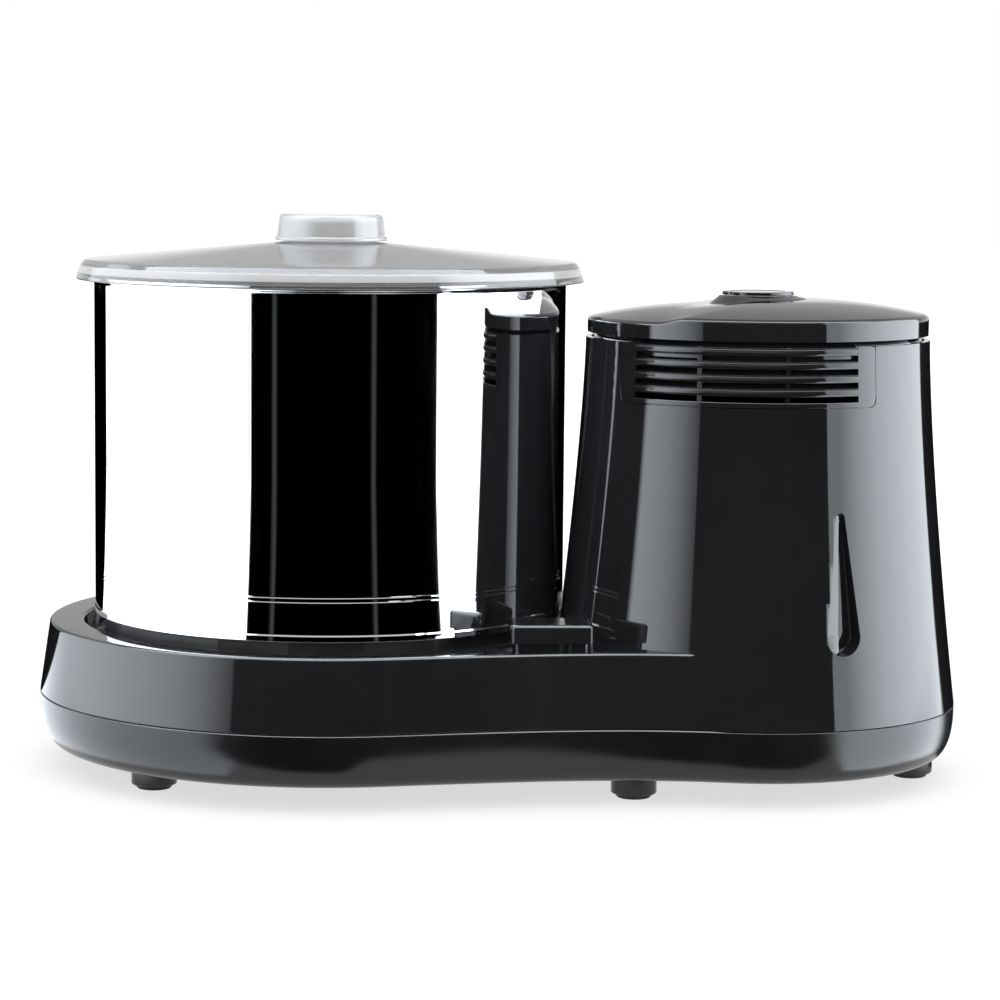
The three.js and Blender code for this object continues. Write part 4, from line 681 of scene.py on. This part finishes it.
# bottom pan with its collars and feet
panSet = {
    "bottom": 10.6, "inset": 12, "bulge": 2.5, "rimTop": 35.7, "wall": 2.6, "collarRadius": 10.5, "collarLow": 3.6,
    "collarRim": 2.0, "padRadius": 8.2, "padTop": 3.3, "padChamfer": 0.8, "gap": 0.3, "floorInset": 22,
    "postX": 48, "postY": 42, "postRadius": 6, "postTop": 45.7,
    "feet": {"foot_front_left": (-66.6, -87), "foot_back_left": (-66.6, 87), "foot_front_middle": (154, -71),
             "foot_back_middle": (154, 71), "foot_end": (280, 0)},
}


def bottomPan():
    p = panSet
    outline = baseOutline(baseSet["towerArc"])

    def side(extra, low, high, steps):
        # from the foot up to the rim, fuller than a quarter of an ellipse
        rows = []
        for turn in evenly(0, pi / 2, steps):
            draw = 1 - cos(turn) ** (2 / p["bulge"])
            rise = 1 - sin(turn) ** (2 / p["bulge"])
            rows.append((extra + p["inset"] * draw, low + (high - low) * rise))
        return list(reversed(rows))

    outer = side(0, p["bottom"], p["rimTop"] - 0.4, 14) + [(0.4, p["rimTop"])]
    pan = skinned("bottomPan", [ringAt(outline, a, z) for a, z in [(p["floorInset"], p["bottom"]), *outer]])
    inner = side(p["wall"], p["bottom"] + p["wall"], p["rimTop"] + 2, 6)
    carve(pan, skinned("panHollow", [ringAt(outline, a, z) for a, z in inner]))
    low, rim, radius = (p["collar" + key] for key in ("Low", "Rim", "Radius"))
    bore, top = p["padRadius"] + p["gap"], p["bottom"] + 1.4
    for x, y in p["feet"].values():
        carve(pan, turnedShape("collarTool", [
            (0, low), (bore, low), (bore, rim, 0.2), (radius - 0.4, rim, 0.3), (radius, rim + 0.5, 0.3),
            (radius, top), (0, top)], 64, (drumX + x, y)), "UNION")
    for sideX in (-1, 1):
        for sideY in (-1, 1):
            place = (towerX + sideX * p["postX"], sideY * p["postY"])
            carve(pan, discShape("postTool", p["postRadius"], p["bottom"] + 1.3, p["postTop"], place, 32), "UNION")
    settle(pan, "pan_black", "base", "bottom_pan", sharp=38)


def footPads():
    radius, top, chamfer = (panSet["pad" + key] for key in ("Radius", "Top", "Chamfer"))
    outline = [(0, 0), (radius - chamfer, 0, 0.3), (radius, chamfer, 0.3), (radius, top), (0, top)]
    for name, (x, y) in panSet["feet"].items():
        settle(turnedShape(name + "_pad", outline, 64, (drumX + x, y)), "foot_rubber", "base", name)


bottomPan()
footPads()
print("pan and feet built")

# tower lid and its round cover
towerLidSet = {
    "edge": 209.8, "crease": 216.2, "radius": 80.1, "creaseRound": 2.2, "crown": 223.4, "rise": 2.4,
    "sweepAngle": -27.5, "rimWidth": 5, "bossWidth": 40, "bossFoot": 22.8, "bossTop": 18, "bossHeight": 227.4,
    "coverRadius": 16.8, "coverLow": 227.7, "coverTop": 229.3, "lipRadius": 77.9, "lipLow": 201.5, "gapLow": 206,
    "thick": 2.4, "lipThick": 3.6, "lipLean": 2.2, "dishRim": 3.2, "dishDepth": 0.2, "sides": 288,
}


def smoothStep(value, low, high):
    share = min(max((value - low) / (high - low), 0), 1)
    return share * share * (3 - 2 * share)


def lidRise(x, y, radius):
    # how far the crown is lifted away from the drum, in a sweep that widens towards the boss
    t = towerLidSet
    share = min(max((t["radius"] - radius) / (t["radius"] - t["bossFoot"]), 0), 1)
    width = radians(t["rimWidth"] + (t["bossWidth"] - t["rimWidth"]) * share)
    middle = radians(t["sweepAngle"])
    return t["rise"] * smoothStep(atan2(x, abs(y)), middle - width, middle + width)


def towerLid():
    t = towerLidSet
    edge = t["radius"] - t["creaseRound"]
    shoulder = t["crease"] + t["creaseRound"] / 2
    foot, lip, thick = t["bossFoot"], t["lipRadius"], t["thick"]
    crown = []
    for radius in evenly(edge, foot, 24):
        fall = ((radius - foot) / (edge - foot)) ** 2
        crown.append((radius, t["crown"] - (t["crown"] - shoulder) * fall))
    top = eased([
        (t["radius"], t["edge"], 0.4), (t["radius"], t["crease"], 1.1), crown[0] + (1.2,), *crown[1:-1],
        crown[-1] + (1.4,), (t["bossTop"], t["bossHeight"], 1.0), (0, t["bossHeight"])], 5, False)
    bottom = [Vector(p) for p in (
        (0, t["bossHeight"] - thick), (foot, t["crown"] - thick), (lip - t["lipThick"], t["crease"] - thick),
        (lip - t["lipThick"], t["lipLow"]), (lip, t["lipLow"]), (lip, t["gapLow"]), (lip - t["lipLean"], t["edge"]))]
    outline = bottom + top
    sections = []
    for i in range(t["sides"]):
        angle = tau * i / t["sides"]
        section = []
        for k, p in enumerate(outline):
            x, y = p.x * cos(angle), p.x * sin(angle)
            lifted = 0
            if k >= len(bottom) and p.y > t["crease"] - 1.5 and p.x > foot - 1.5:
                lifted = lidRise(x, y, p.x) * min(1, (p.y - t["crease"] + 1.5) / 1.6)
            section.append((towerX + x, y, p.y + lifted))
        sections.append(section)
    settle(skinned("towerLid", sections, loop=True), "gloss_black", "base", "tower_lid", sharp=48)


def towerCover():
    keys = ("coverRadius", "coverLow", "coverTop", "dishRim", "dishDepth")
    radius, low, top, rim, dish = (towerLidSet[key] for key in keys)
    cover = turnedShape("towerCover", [
        (0, low), (radius, low, 0.2), (radius, top, 0.4), (radius - rim, top, 0.6), (radius - rim - 1, top - dish, 0.6),
        (0, top - dish)], 128, (towerX, 0))
    settle(cover, "gloss_black", "base", "tower_cover", sharp=50)


towerLid()
towerCover()
print("tower lid built")

# drum: polished shell, stone floor and centre tube
drumSet = {
    "radius": 112.5, "foot": 73, "rim": 234, "wall": 1.2, "floorWall": 1.5, "footFlange": 0.3, "footBand": 3.4,
    "bead": 1.9, "groove": 91.7, "grooveWidth": 2, "grooveHalf": 0.4, "grooveDepth": 0.13, "tubeHole": 13.3,
    "stoneTop": 101, "tubeFoot": 63.5, "tubeTop": 160, "tubeBore": 9.3, "tubeRadius": 13, "tubeFlange": 23.4,
    "gap": 0.3, "sides": 320,
}


def drumShell():
    d = drumSet
    r, foot, rim, bead, hole, g = (d[key] for key in ("radius", "foot", "rim", "bead", "tubeHole", "groove"))
    inner, flange, band, floor = r - d["wall"], r + d["footFlange"], foot + d["footBand"], foot + d["floorWall"]
    shell = turnedShape("drumShell", [
        (hole, foot), (r - 1.0, foot, 0.4), (flange, foot + 0.5, 0.6), (flange, band - 0.3, 0.2), (r, band + 0.4, 0.2),
        *[(r - inset, line + rise, 0.12) for line in (g, g + d["grooveWidth"]) for rise, inset in (
            (-d["grooveHalf"], 0), (0, d["grooveDepth"]), (d["grooveHalf"], 0))],
        (r, rim - bead * 2.1, 0.8), (r + bead, rim - bead * 1.5, 1.2), (r + bead, rim, 1.5), (inner, rim, 0.6),
        (inner, floor, 0.8), (hole, floor)], d["sides"])
    settle(shell, "polished_steel", "drum", "drum_shell")


def stoneFloor():
    d = drumSet
    low = d["foot"] + d["floorWall"] + d["gap"]
    outer, top, hole = d["radius"] - d["wall"] - d["gap"], d["stoneTop"], d["tubeHole"]
    floor = turnedShape("stoneFloor", [(hole, low), (outer, low), (outer, top, 0.8), (hole, top, 0.4)], 192)
    settle(floor, "granite", "drum", "drum_floor_stone")


def centreTube():
    d = drumSet
    seat = d["stoneTop"] + d["gap"]
    foot, top, bore, radius, flange = (d["tube" + key] for key in ("Foot", "Top", "Bore", "Radius", "Flange"))
    tube = turnedShape("centreTube", [
        (bore, foot), (radius, foot, 0.4), (radius, seat), (flange, seat), (flange, seat + d["bead"], 0.6),
        (radius, seat + d["bead"] * 2, 1.0), (radius, top, 0.6), (bore, top, 0.4)], 96)
    settle(tube, "plain_steel", "drum", "drum_centre_tube")


drumShell()
stoneFloor()
centreTube()
print("drum built")

# roller unit
rollerSet = {
    "radius": 38, "inner": 26, "outer": 92, "height": 139.3, "axleRadius": 7, "axleRoot": 18, "axleEnd": 98,
    "nutRadius": 10, "nutLength": 8, "handleHalf": 31, "handleHeight": 27, "handleThick": 12, "handleBar": 7,
    "handleFoot": 3, "handleLow": 204.3, "gap": 0.3, "stoneRound": 1.8, "nutChamfer": 1.6,
}


def rollers():
    r = rollerSet
    radius, axleRadius, end, high, gap, edge = (
        r[key] for key in ("radius", "axleRadius", "axleEnd", "height", "gap", "stoneRound"))
    bore = axleRadius + gap
    for word, side in (("front", -1), ("back", 1)):
        stone = turnedAlongY(word + "RollerStone", [
            (bore, r["inner"]), (radius, r["inner"], edge), (radius, r["outer"], edge), (bore, r["outer"])],
            side, high, 128)
        settle(stone, "granite", word + "_roller", "roller_stone_" + word)
        axle = turnedAlongY(word + "Axle", [
            (0, r["axleRoot"]), (axleRadius, r["axleRoot"], 0.5), (axleRadius, end, 0.8), (0, end)], side, high, 48)
        settle(axle, "plain_steel", "roller_unit", "roller_axle_" + word)
        # the nut is a hexagon, bored for the axle's end and chamfered by a turned form
        seat, top = r["outer"] + gap, r["outer"] + gap + r["nutLength"]
        corner = r["nutRadius"] / cos(pi / 6)
        nut = turnedAlongY(word + "Nut", [(0, seat), (corner, seat), (corner, top), (0, top)], side, high, 6)
        carve(nut, turnedAlongY("nutBore", [
            (0, seat - 2), (bore, seat - 2), (bore, end + gap), (0, end + gap)], side, high, 48))
        crown = turnedAlongY("nutCrown", [
            (0, seat - 1), (corner + 0.3, seat - 1), (corner + 0.3, top - r["nutChamfer"]),
            (r["nutRadius"] - 0.8, top + 0.01), (0, top + 0.01)], side, high, 64)
        carve(nut, crown, "INTERSECT")
        settle(nut, "plain_steel", "roller_unit", "axle_nut_" + word)


def rollerHandle():
    r = rollerSet
    low, half, tall, bar = r["handleLow"], r["handleHalf"], r["handleHeight"], r["handleBar"]
    corner, foot, thick = tall / 2, low + r["handleFoot"], r["handleThick"] / 2
    outer = eased([(-half, low, 1.5), (half, low, 1.5), (half, low + tall, corner), (-half, low + tall, corner)], 14)
    inner = eased([(bar - half, foot, 1.2), (half - bar, foot, 1.2), (half - bar, low + tall - bar, corner - bar),
                   (bar - half, low + tall - bar, corner - bar)], 14)

    def slab(name, outline, rows, grow):
        # the outline at each depth, drawn towards the centre by the inset or pushed out
        centre = Vector((0, low + tall / 2))
        sections = []
        for y, inset in rows:
            section = []
            for p in outline:
                away = p - centre
                q = p - Vector([copysign(min(inset, abs(part)), part) for part in away]) * grow
                section.append((drumX + q.x, y, q.y))
            sections.append(section)
        return skinned(name, sections)

    def rows(reach, far, near):
        return [(-thick - reach, far), (-thick + 0.35, near), (-thick + 1.2, 0), (thick - 1.2, 0), (thick - 0.35, near),
                (thick + reach, far)]

    handle = slab("rollerHandle", outer, rows(0, 1.2, 0.35), 1)
    carve(handle, slab("handleHole", inner, rows(1, 2.0, 0.9), -1))
    settle(handle, "dark_moulding", "roller_unit", "roller_handle", sharp=40)


rollers()
rollerHandle()
print("rollers built")

# clear lid and its hollow knob
drumLidSet = {
    "radius": 121.3, "edge": 231.8, "crease": 238.4, "shoulder": 112, "shoulderHeight": 241.8, "top": 249.6,
    "thick": 2, "hole": 20, "skirtLean": 1.9, "seatRadius": 111.5, "rimSeat": 234.3, "rimOuter": 114.4, "gap": 0.3,
    "sides": 288,
}
knobSet = {
    "flange": 26.9, "flangeThick": 1.6, "foot": 25.9, "topRadius": 24.6, "top": 263, "wall": 2, "round": 2.2,
    "hook": 1.6,
}


def coneHeight(radius):
    lid = drumLidSet
    share = (lid["shoulder"] - radius) / (lid["shoulder"] - knobSet["flange"])
    return lid["shoulderHeight"] + (lid["top"] - lid["shoulderHeight"]) * share


def clearLid():
    lid = drumLidSet
    radius, edge, crease, shoulder = (lid[key] for key in ("radius", "edge", "crease", "shoulderHeight"))
    thick, hole, seat, inner = lid["thick"], lid["hole"], lid["seatRadius"], lid["radius"] - lid["thick"]
    shell = turnedShape("clearLid", [
        (hole, coneHeight(hole) - thick, 0.3), (seat, shoulder - thick, 0.8), (seat, lid["rimSeat"], 0.3),
        (lid["rimOuter"], lid["rimSeat"], 0.4), (inner, crease - thick * 2, 1.2), (inner, edge, 0.4),
        (radius, edge, 0.7), (radius - lid["skirtLean"], crease, 2.4), (radius - 4, shoulder - 0.6, 2.5),
        (lid["shoulder"], shoulder, 4), (hole, coneHeight(hole), 0.4)], lid["sides"], steps=7)
    settle(shell, "clear_plastic", "lid", "drum_lid", sharp=50)


def clearKnob():
    k, lid = knobSet, drumLidSet
    neck, wall, catch = lid["hole"] - lid["gap"], k["wall"], k["hook"]
    lift = coneHeight(lid["hole"]) - lid["top"]
    seat = coneHeight(k["flange"]) + lid["gap"] + lift
    rim = seat + k["flangeThick"]
    hook = coneHeight(lid["hole"]) - lid["thick"] - lid["gap"]
    knob = turnedShape("clearKnob", [
        (neck - wall, hook - catch, 0.4), (neck + catch, hook - catch, 0.4), (neck + catch, hook - 0.3, 0.3),
        (neck, hook), (neck, seat), (k["flange"], seat, 0.3), (k["flange"], rim, 0.5), (k["foot"], rim + 0.2, 0.4),
        (k["topRadius"], k["top"], k["round"]), (0, k["top"]), (0, k["top"] - wall),
        (k["topRadius"] - wall - 0.4, k["top"] - wall, 1.4), (neck - wall, rim, 1.0)], 192, steps=7)
    settle(knob, "clear_plastic", "lid", "lid_knob", sharp=50, finish=knobFinish)


clearLid()
clearKnob()
print("lid and knob built")

# finishes of the nodes that keep their own shape
for row in frame["record"]["subparts"]:
    node = frame["nodes"][row["node"]]
    if not node.hide_render:
        node.material_slots[0].material = finishes[row["material_slot"]]
print("inner pieces dressed")

# studio: pale floor, a soft lamp, white boards at the sides and dark boards round the camera
# azimuths in degrees round the drum, reaches and heights in millimetres; lamp and floor in metres
studioSet = {
    "darkReach": 1500, "boardReach": 1550, "clothReach": 1560, "darkHeight": 750, "edgeHeight": 170,
    "boardHeight": 1250, "darkFrom": -36.7, "darkTo": 50.0, "edgeFrom": -135.3, "edgeTo": 120.5, "gap": 0.4,
    "leftGlow": (2.3, 3.1, 4.1, 5.0, 5.3, 5.2, 4.6, 3.2, 0.95), "rightGlow": (3.4, 6.4, 8.2, 8.3, 7.4, 5.8, 4.3),
    "leftNear": 2.7, "rightNear": 4.6, "sideNear": 506, "sideGlow": 3.4,
    "lineAt": {"Left": -25.6, "Right": 19.7}, "lineNear": 300, "lineFar": 1450, "lineHalf": 1.5, "lineGlow": 0.06,
    "topGlow": 9.0, "topHeight": 1300, "topSpan": ((-1600, -1100), (1600, -1100), (1600, 300), (-1600, 300)),
    "tint": (0.88, 0.935, 1.0), "worldFill": 0.85, "upper": 0.58, "greyFrom": (4, 9),
    "lampPlace": (0.0, -0.1, 1.9), "lampSize": 1.8, "lampPower": 8.0,
    "floorHalf": 9, "floorColour": 0.43, "floorGlow": (0.66, 1.05), "floorFade": (0.25, 1.6),
    "darkNear": [(-192, -222), (-120, -168), (-80, -155), (-45, -150), (-20, -175), (60, -175), (80, -130), (100, -118),
                 (124, -112), (160, -104), (204, -118), (352, -250)],
    "edgeStart": -178, "edgeNear": 150, "backNear": [(230, 0), (120, 130)], "backTurn": (150, 182), "backReach": 190,
    # azimuth and reach of the cloths' edges by the object
    "leftEdge": ((-135.3, 143), (-22, 143)), "leftMore": ((-35.1, 245), (-22, 172)),
    "rightEdge": ((50.4, 506), (58, 315), (61.8, 275), (70.4, 301), (80, 316), (90, 378), (100, 490), (110, 725),
                  (115, 970), (120.5, 1558)),
}


def roundDrum(azimuth, reach, height):
    # a point round the drum; azimuth 0 is towards the camera
    turn = radians(azimuth) + atan2(cameraSet["place"][1], cameraSet["place"][0] - drumX * mm)
    return drumX + reach * cos(turn), reach * sin(turn), height


def emptyFinish(mesh, name):
    finish = bpy.data.materials.new(name)
    finish.use_nodes = True
    finish.node_tree.nodes.clear()
    mesh.materials.append(finish)
    return finish.node_tree


def stageCard(name, points, faces, glows):
    # a card that is seen only in reflections, with a glow at each of its points
    mesh = bpy.data.meshes.new(name)
    mesh.from_pydata([Vector(point) * mm for point in points], [], faces)
    mesh.attributes.new("glow", "FLOAT", "POINT").data.foreach_set("value", glows)
    card = placed(name, mesh)
    tree = emptyFinish(mesh, name + "Cloth")
    level = newNode(tree, "Attribute", {})
    level.attribute_name = "glow"
    light = newNode(tree, "Emission", {"Color": (*studioSet["tint"], 1), "Strength": level.outputs["Fac"]})
    newNode(tree, "OutputMaterial", {"Surface": light.outputs["Emission"]})
    card.visible_camera = card.visible_diffuse = card.visible_shadow = card.visible_transmission = False


def along(rows, place):
    # the value at a place in a list of places and values
    for (start, first), (end, last) in zip(rows, rows[1:]):
        if place <= end:
            break
    return first + (last - first) * min(max((place - start) / (end - start), 0), 1)


def stripCard(name, rows):
    # a strip with two points at each azimuth, given as reach, height and glow
    points = [roundDrum(azimuth, end[0], end[1]) for azimuth, *ends in rows for end in ends]
    glows = [end[2] for azimuth, *ends in rows for end in ends]
    stageCard(name, points, [(2 * i - 2, 2 * i, 2 * i + 1, 2 * i - 1) for i in range(1, len(rows))], glows)


def glowStrip(name, azimuths, glow, ends, more=()):
    # a strip whose glow follows its list of values; ends gives both points at each azimuth
    rows = list(zip(evenly(*azimuths, len(glow) - 1), glow))
    stripCard(name, [(angle, *ends(angle, along(rows, angle))) for angle in spread(*azimuths, 3)] + list(more))


def board(name, azimuths, top, glow, reach):
    # an upright strip of card
    glowStrip(name, azimuths, glow, lambda angle, value: ((reach, -1, value), (reach, top, value)))


def glowCloth(name, azimuths, edge, nearGlow, glow, more=()):
    # a cloth on the floor, from its edge by the object to a glowing board, and on over a few more azimuths
    def ends(angle, value, far=studioSet["clothReach"]):
        return (along(edge, angle), 1, nearGlow), (far, 1, value)

    glowStrip(name, azimuths, glow, ends, [(angle, *ends(angle, nearGlow, far)) for angle, far in more])


def darkCloth(name, near, azimuths):
    # a dark cloth on the floor, from points near the object to the upright boards
    far = [roundDrum(angle, studioSet["darkReach"], 1) for angle in spread(*azimuths, 3)]
    points = [(x, y, 1) for x, y in near] + list(reversed(far))
    stageCard(name, points, [tuple(range(len(points)))], [0.0] * len(points))


def lightPathIs(tree, *kinds):
    # 1 where the ray is of any of these kinds
    path = newNode(tree, "LightPath", {})
    result = path.outputs[kinds[0]]
    for kind in kinds[1:]:
        result = combined(tree, "MAXIMUM", result, path.outputs[kind])
    return result


def buildWorld():
    # white to the camera and through clear pieces; in reflections white at the horizon and greyer above it
    s = studioSet
    world = bpy.data.worlds.new("studioWorld")
    scene.world = world
    world.use_nodes = True
    tree = world.node_tree
    sky = next(node for node in tree.nodes if node.type == "BACKGROUND")
    height = heightOf(tree, newNode(tree, "TexCoord", {}).outputs["Generated"])
    horizon = remapped(tree, height, *[sin(radians(angle)) for angle in s["greyFrom"]], 1.0, s["upper"])
    seen = lightPathIs(tree, "Is Camera Ray", "Is Transmission Ray")
    mirrored = lightPathIs(tree, "Is Glossy Ray")
    unseen = mixed(tree, mirrored, s["worldFill"], horizon, "VALUE")
    sky.inputs["Color"].default_value = (1, 1, 1, 1)
    tree.links.new(mixed(tree, seen, unseen, 1.0, "VALUE"), sky.inputs["Strength"])


def buildFloor():
    # pale paper that keeps the shadow, lifted to white where it is seen
    s = studioSet
    mesh = bpy.data.meshes.new("studioFloor")
    half = s["floorHalf"]
    mesh.from_pydata([(-half, -half, 0), (half, -half, 0), (half, half, 0), (-half, half, 0)], [], [(0, 1, 2, 3)])
    floor = placed("studioFloor", mesh)
    tree = emptyFinish(mesh, "paperFloor")
    away = newNode(tree, "VectorMath", {0: newNode(tree, "TexCoord", {}).outputs["Object"]})
    away.operation = "LENGTH"
    lift = remapped(tree, away.outputs["Value"], *s["floorFade"], *s["floorGlow"])
    seen = lightPathIs(tree, "Is Camera Ray", "Is Glossy Ray", "Is Transmission Ray")
    paper = newNode(tree, "BsdfDiffuse", {"Color": (*[s["floorColour"]] * 3, 1)})
    glow = newNode(tree, "Emission", {"Strength": mixed(tree, seen, 0.0, lift, "VALUE")})
    both = newNode(tree, "AddShader", {0: paper.outputs[0], 1: glow.outputs[0]})
    newNode(tree, "OutputMaterial", {"Surface": both.outputs[0]})


def addLamp():
    s = studioSet
    data = bpy.data.lights.new("topLamp", "AREA")
    data.size = s["lampSize"]
    data.energy = s["lampPower"]
    light = placed("topLamp", data)
    light.location = s["lampPlace"]
    light.rotation_mode = "QUATERNION"
    light.rotation_quaternion = (Vector((0, 0, 0)) - Vector(s["lampPlace"])).to_track_quat("-Z", "Y")
    light.visible_glossy = light.visible_camera = False


def addBoards():
    s = studioSet
    dark = (s["darkFrom"], s["darkTo"])
    left, right = (s["edgeFrom"], s["darkFrom"] - s["gap"]), (s["darkTo"] + s["gap"], s["edgeTo"])
    edge, back = (s["edgeStart"], s["edgeFrom"] - s["gap"]), (s["edgeTo"] + s["gap"], s["backTurn"][1])
    tall, far, high = s["darkHeight"], s["boardReach"], s["boardHeight"]
    board("darkBoard", dark, tall, (0, 0), s["darkReach"])
    board("darkEdge", (back[0], 360 + s["edgeFrom"] - s["gap"]), s["edgeHeight"], (0, 0), s["darkReach"])
    darkCloth("darkCloth", s["darkNear"], dark)
    darkCloth("edgeCloth", [roundDrum(angle, s["edgeNear"], 1)[:2] for angle in edge], edge)
    darkCloth("backCloth", s["backNear"] + [roundDrum(angle, s["backReach"], 1)[:2] for angle in s["backTurn"]], back)
    glowCloth("leftCloth", left, s["leftEdge"], s["leftNear"], s["leftGlow"], s["leftMore"])
    glowCloth("rightCloth", right, s["rightEdge"], s["rightNear"], s["rightGlow"])
    side = [roundDrum(right[0], distance, height) for distance in (s["sideNear"], far) for height in (1, high)]
    stageCard("sideCard", side, [(0, 2, 3, 1)], [s["sideGlow"]] * 4)
    for word, azimuth in s["lineAt"].items():
        edges = [(azimuth - s["lineHalf"], 0.0), (azimuth, s["lineGlow"]), (azimuth + s["lineHalf"], 0.0)]
        for name, first, last in (("thinLine", (s["lineFar"], -1), (s["lineFar"], tall)),
                                  ("thinStrip", (s["lineNear"], 2), (s["lineFar"], 2))):
            stripCard(name + word, [(angle, (*first, glow), (*last, glow)) for angle, glow in edges])
    board("leftBoard", left, high, s["leftGlow"], far)
    board("rightBoard", right, high, s["rightGlow"], far)
    stageCard("topCard", [(x, y, s["topHeight"]) for x, y in s["topSpan"]], [(0, 3, 2, 1)], [s["topGlow"]] * 4)


buildWorld()
buildFloor()
addLamp()
addBoards()
print("studio set")
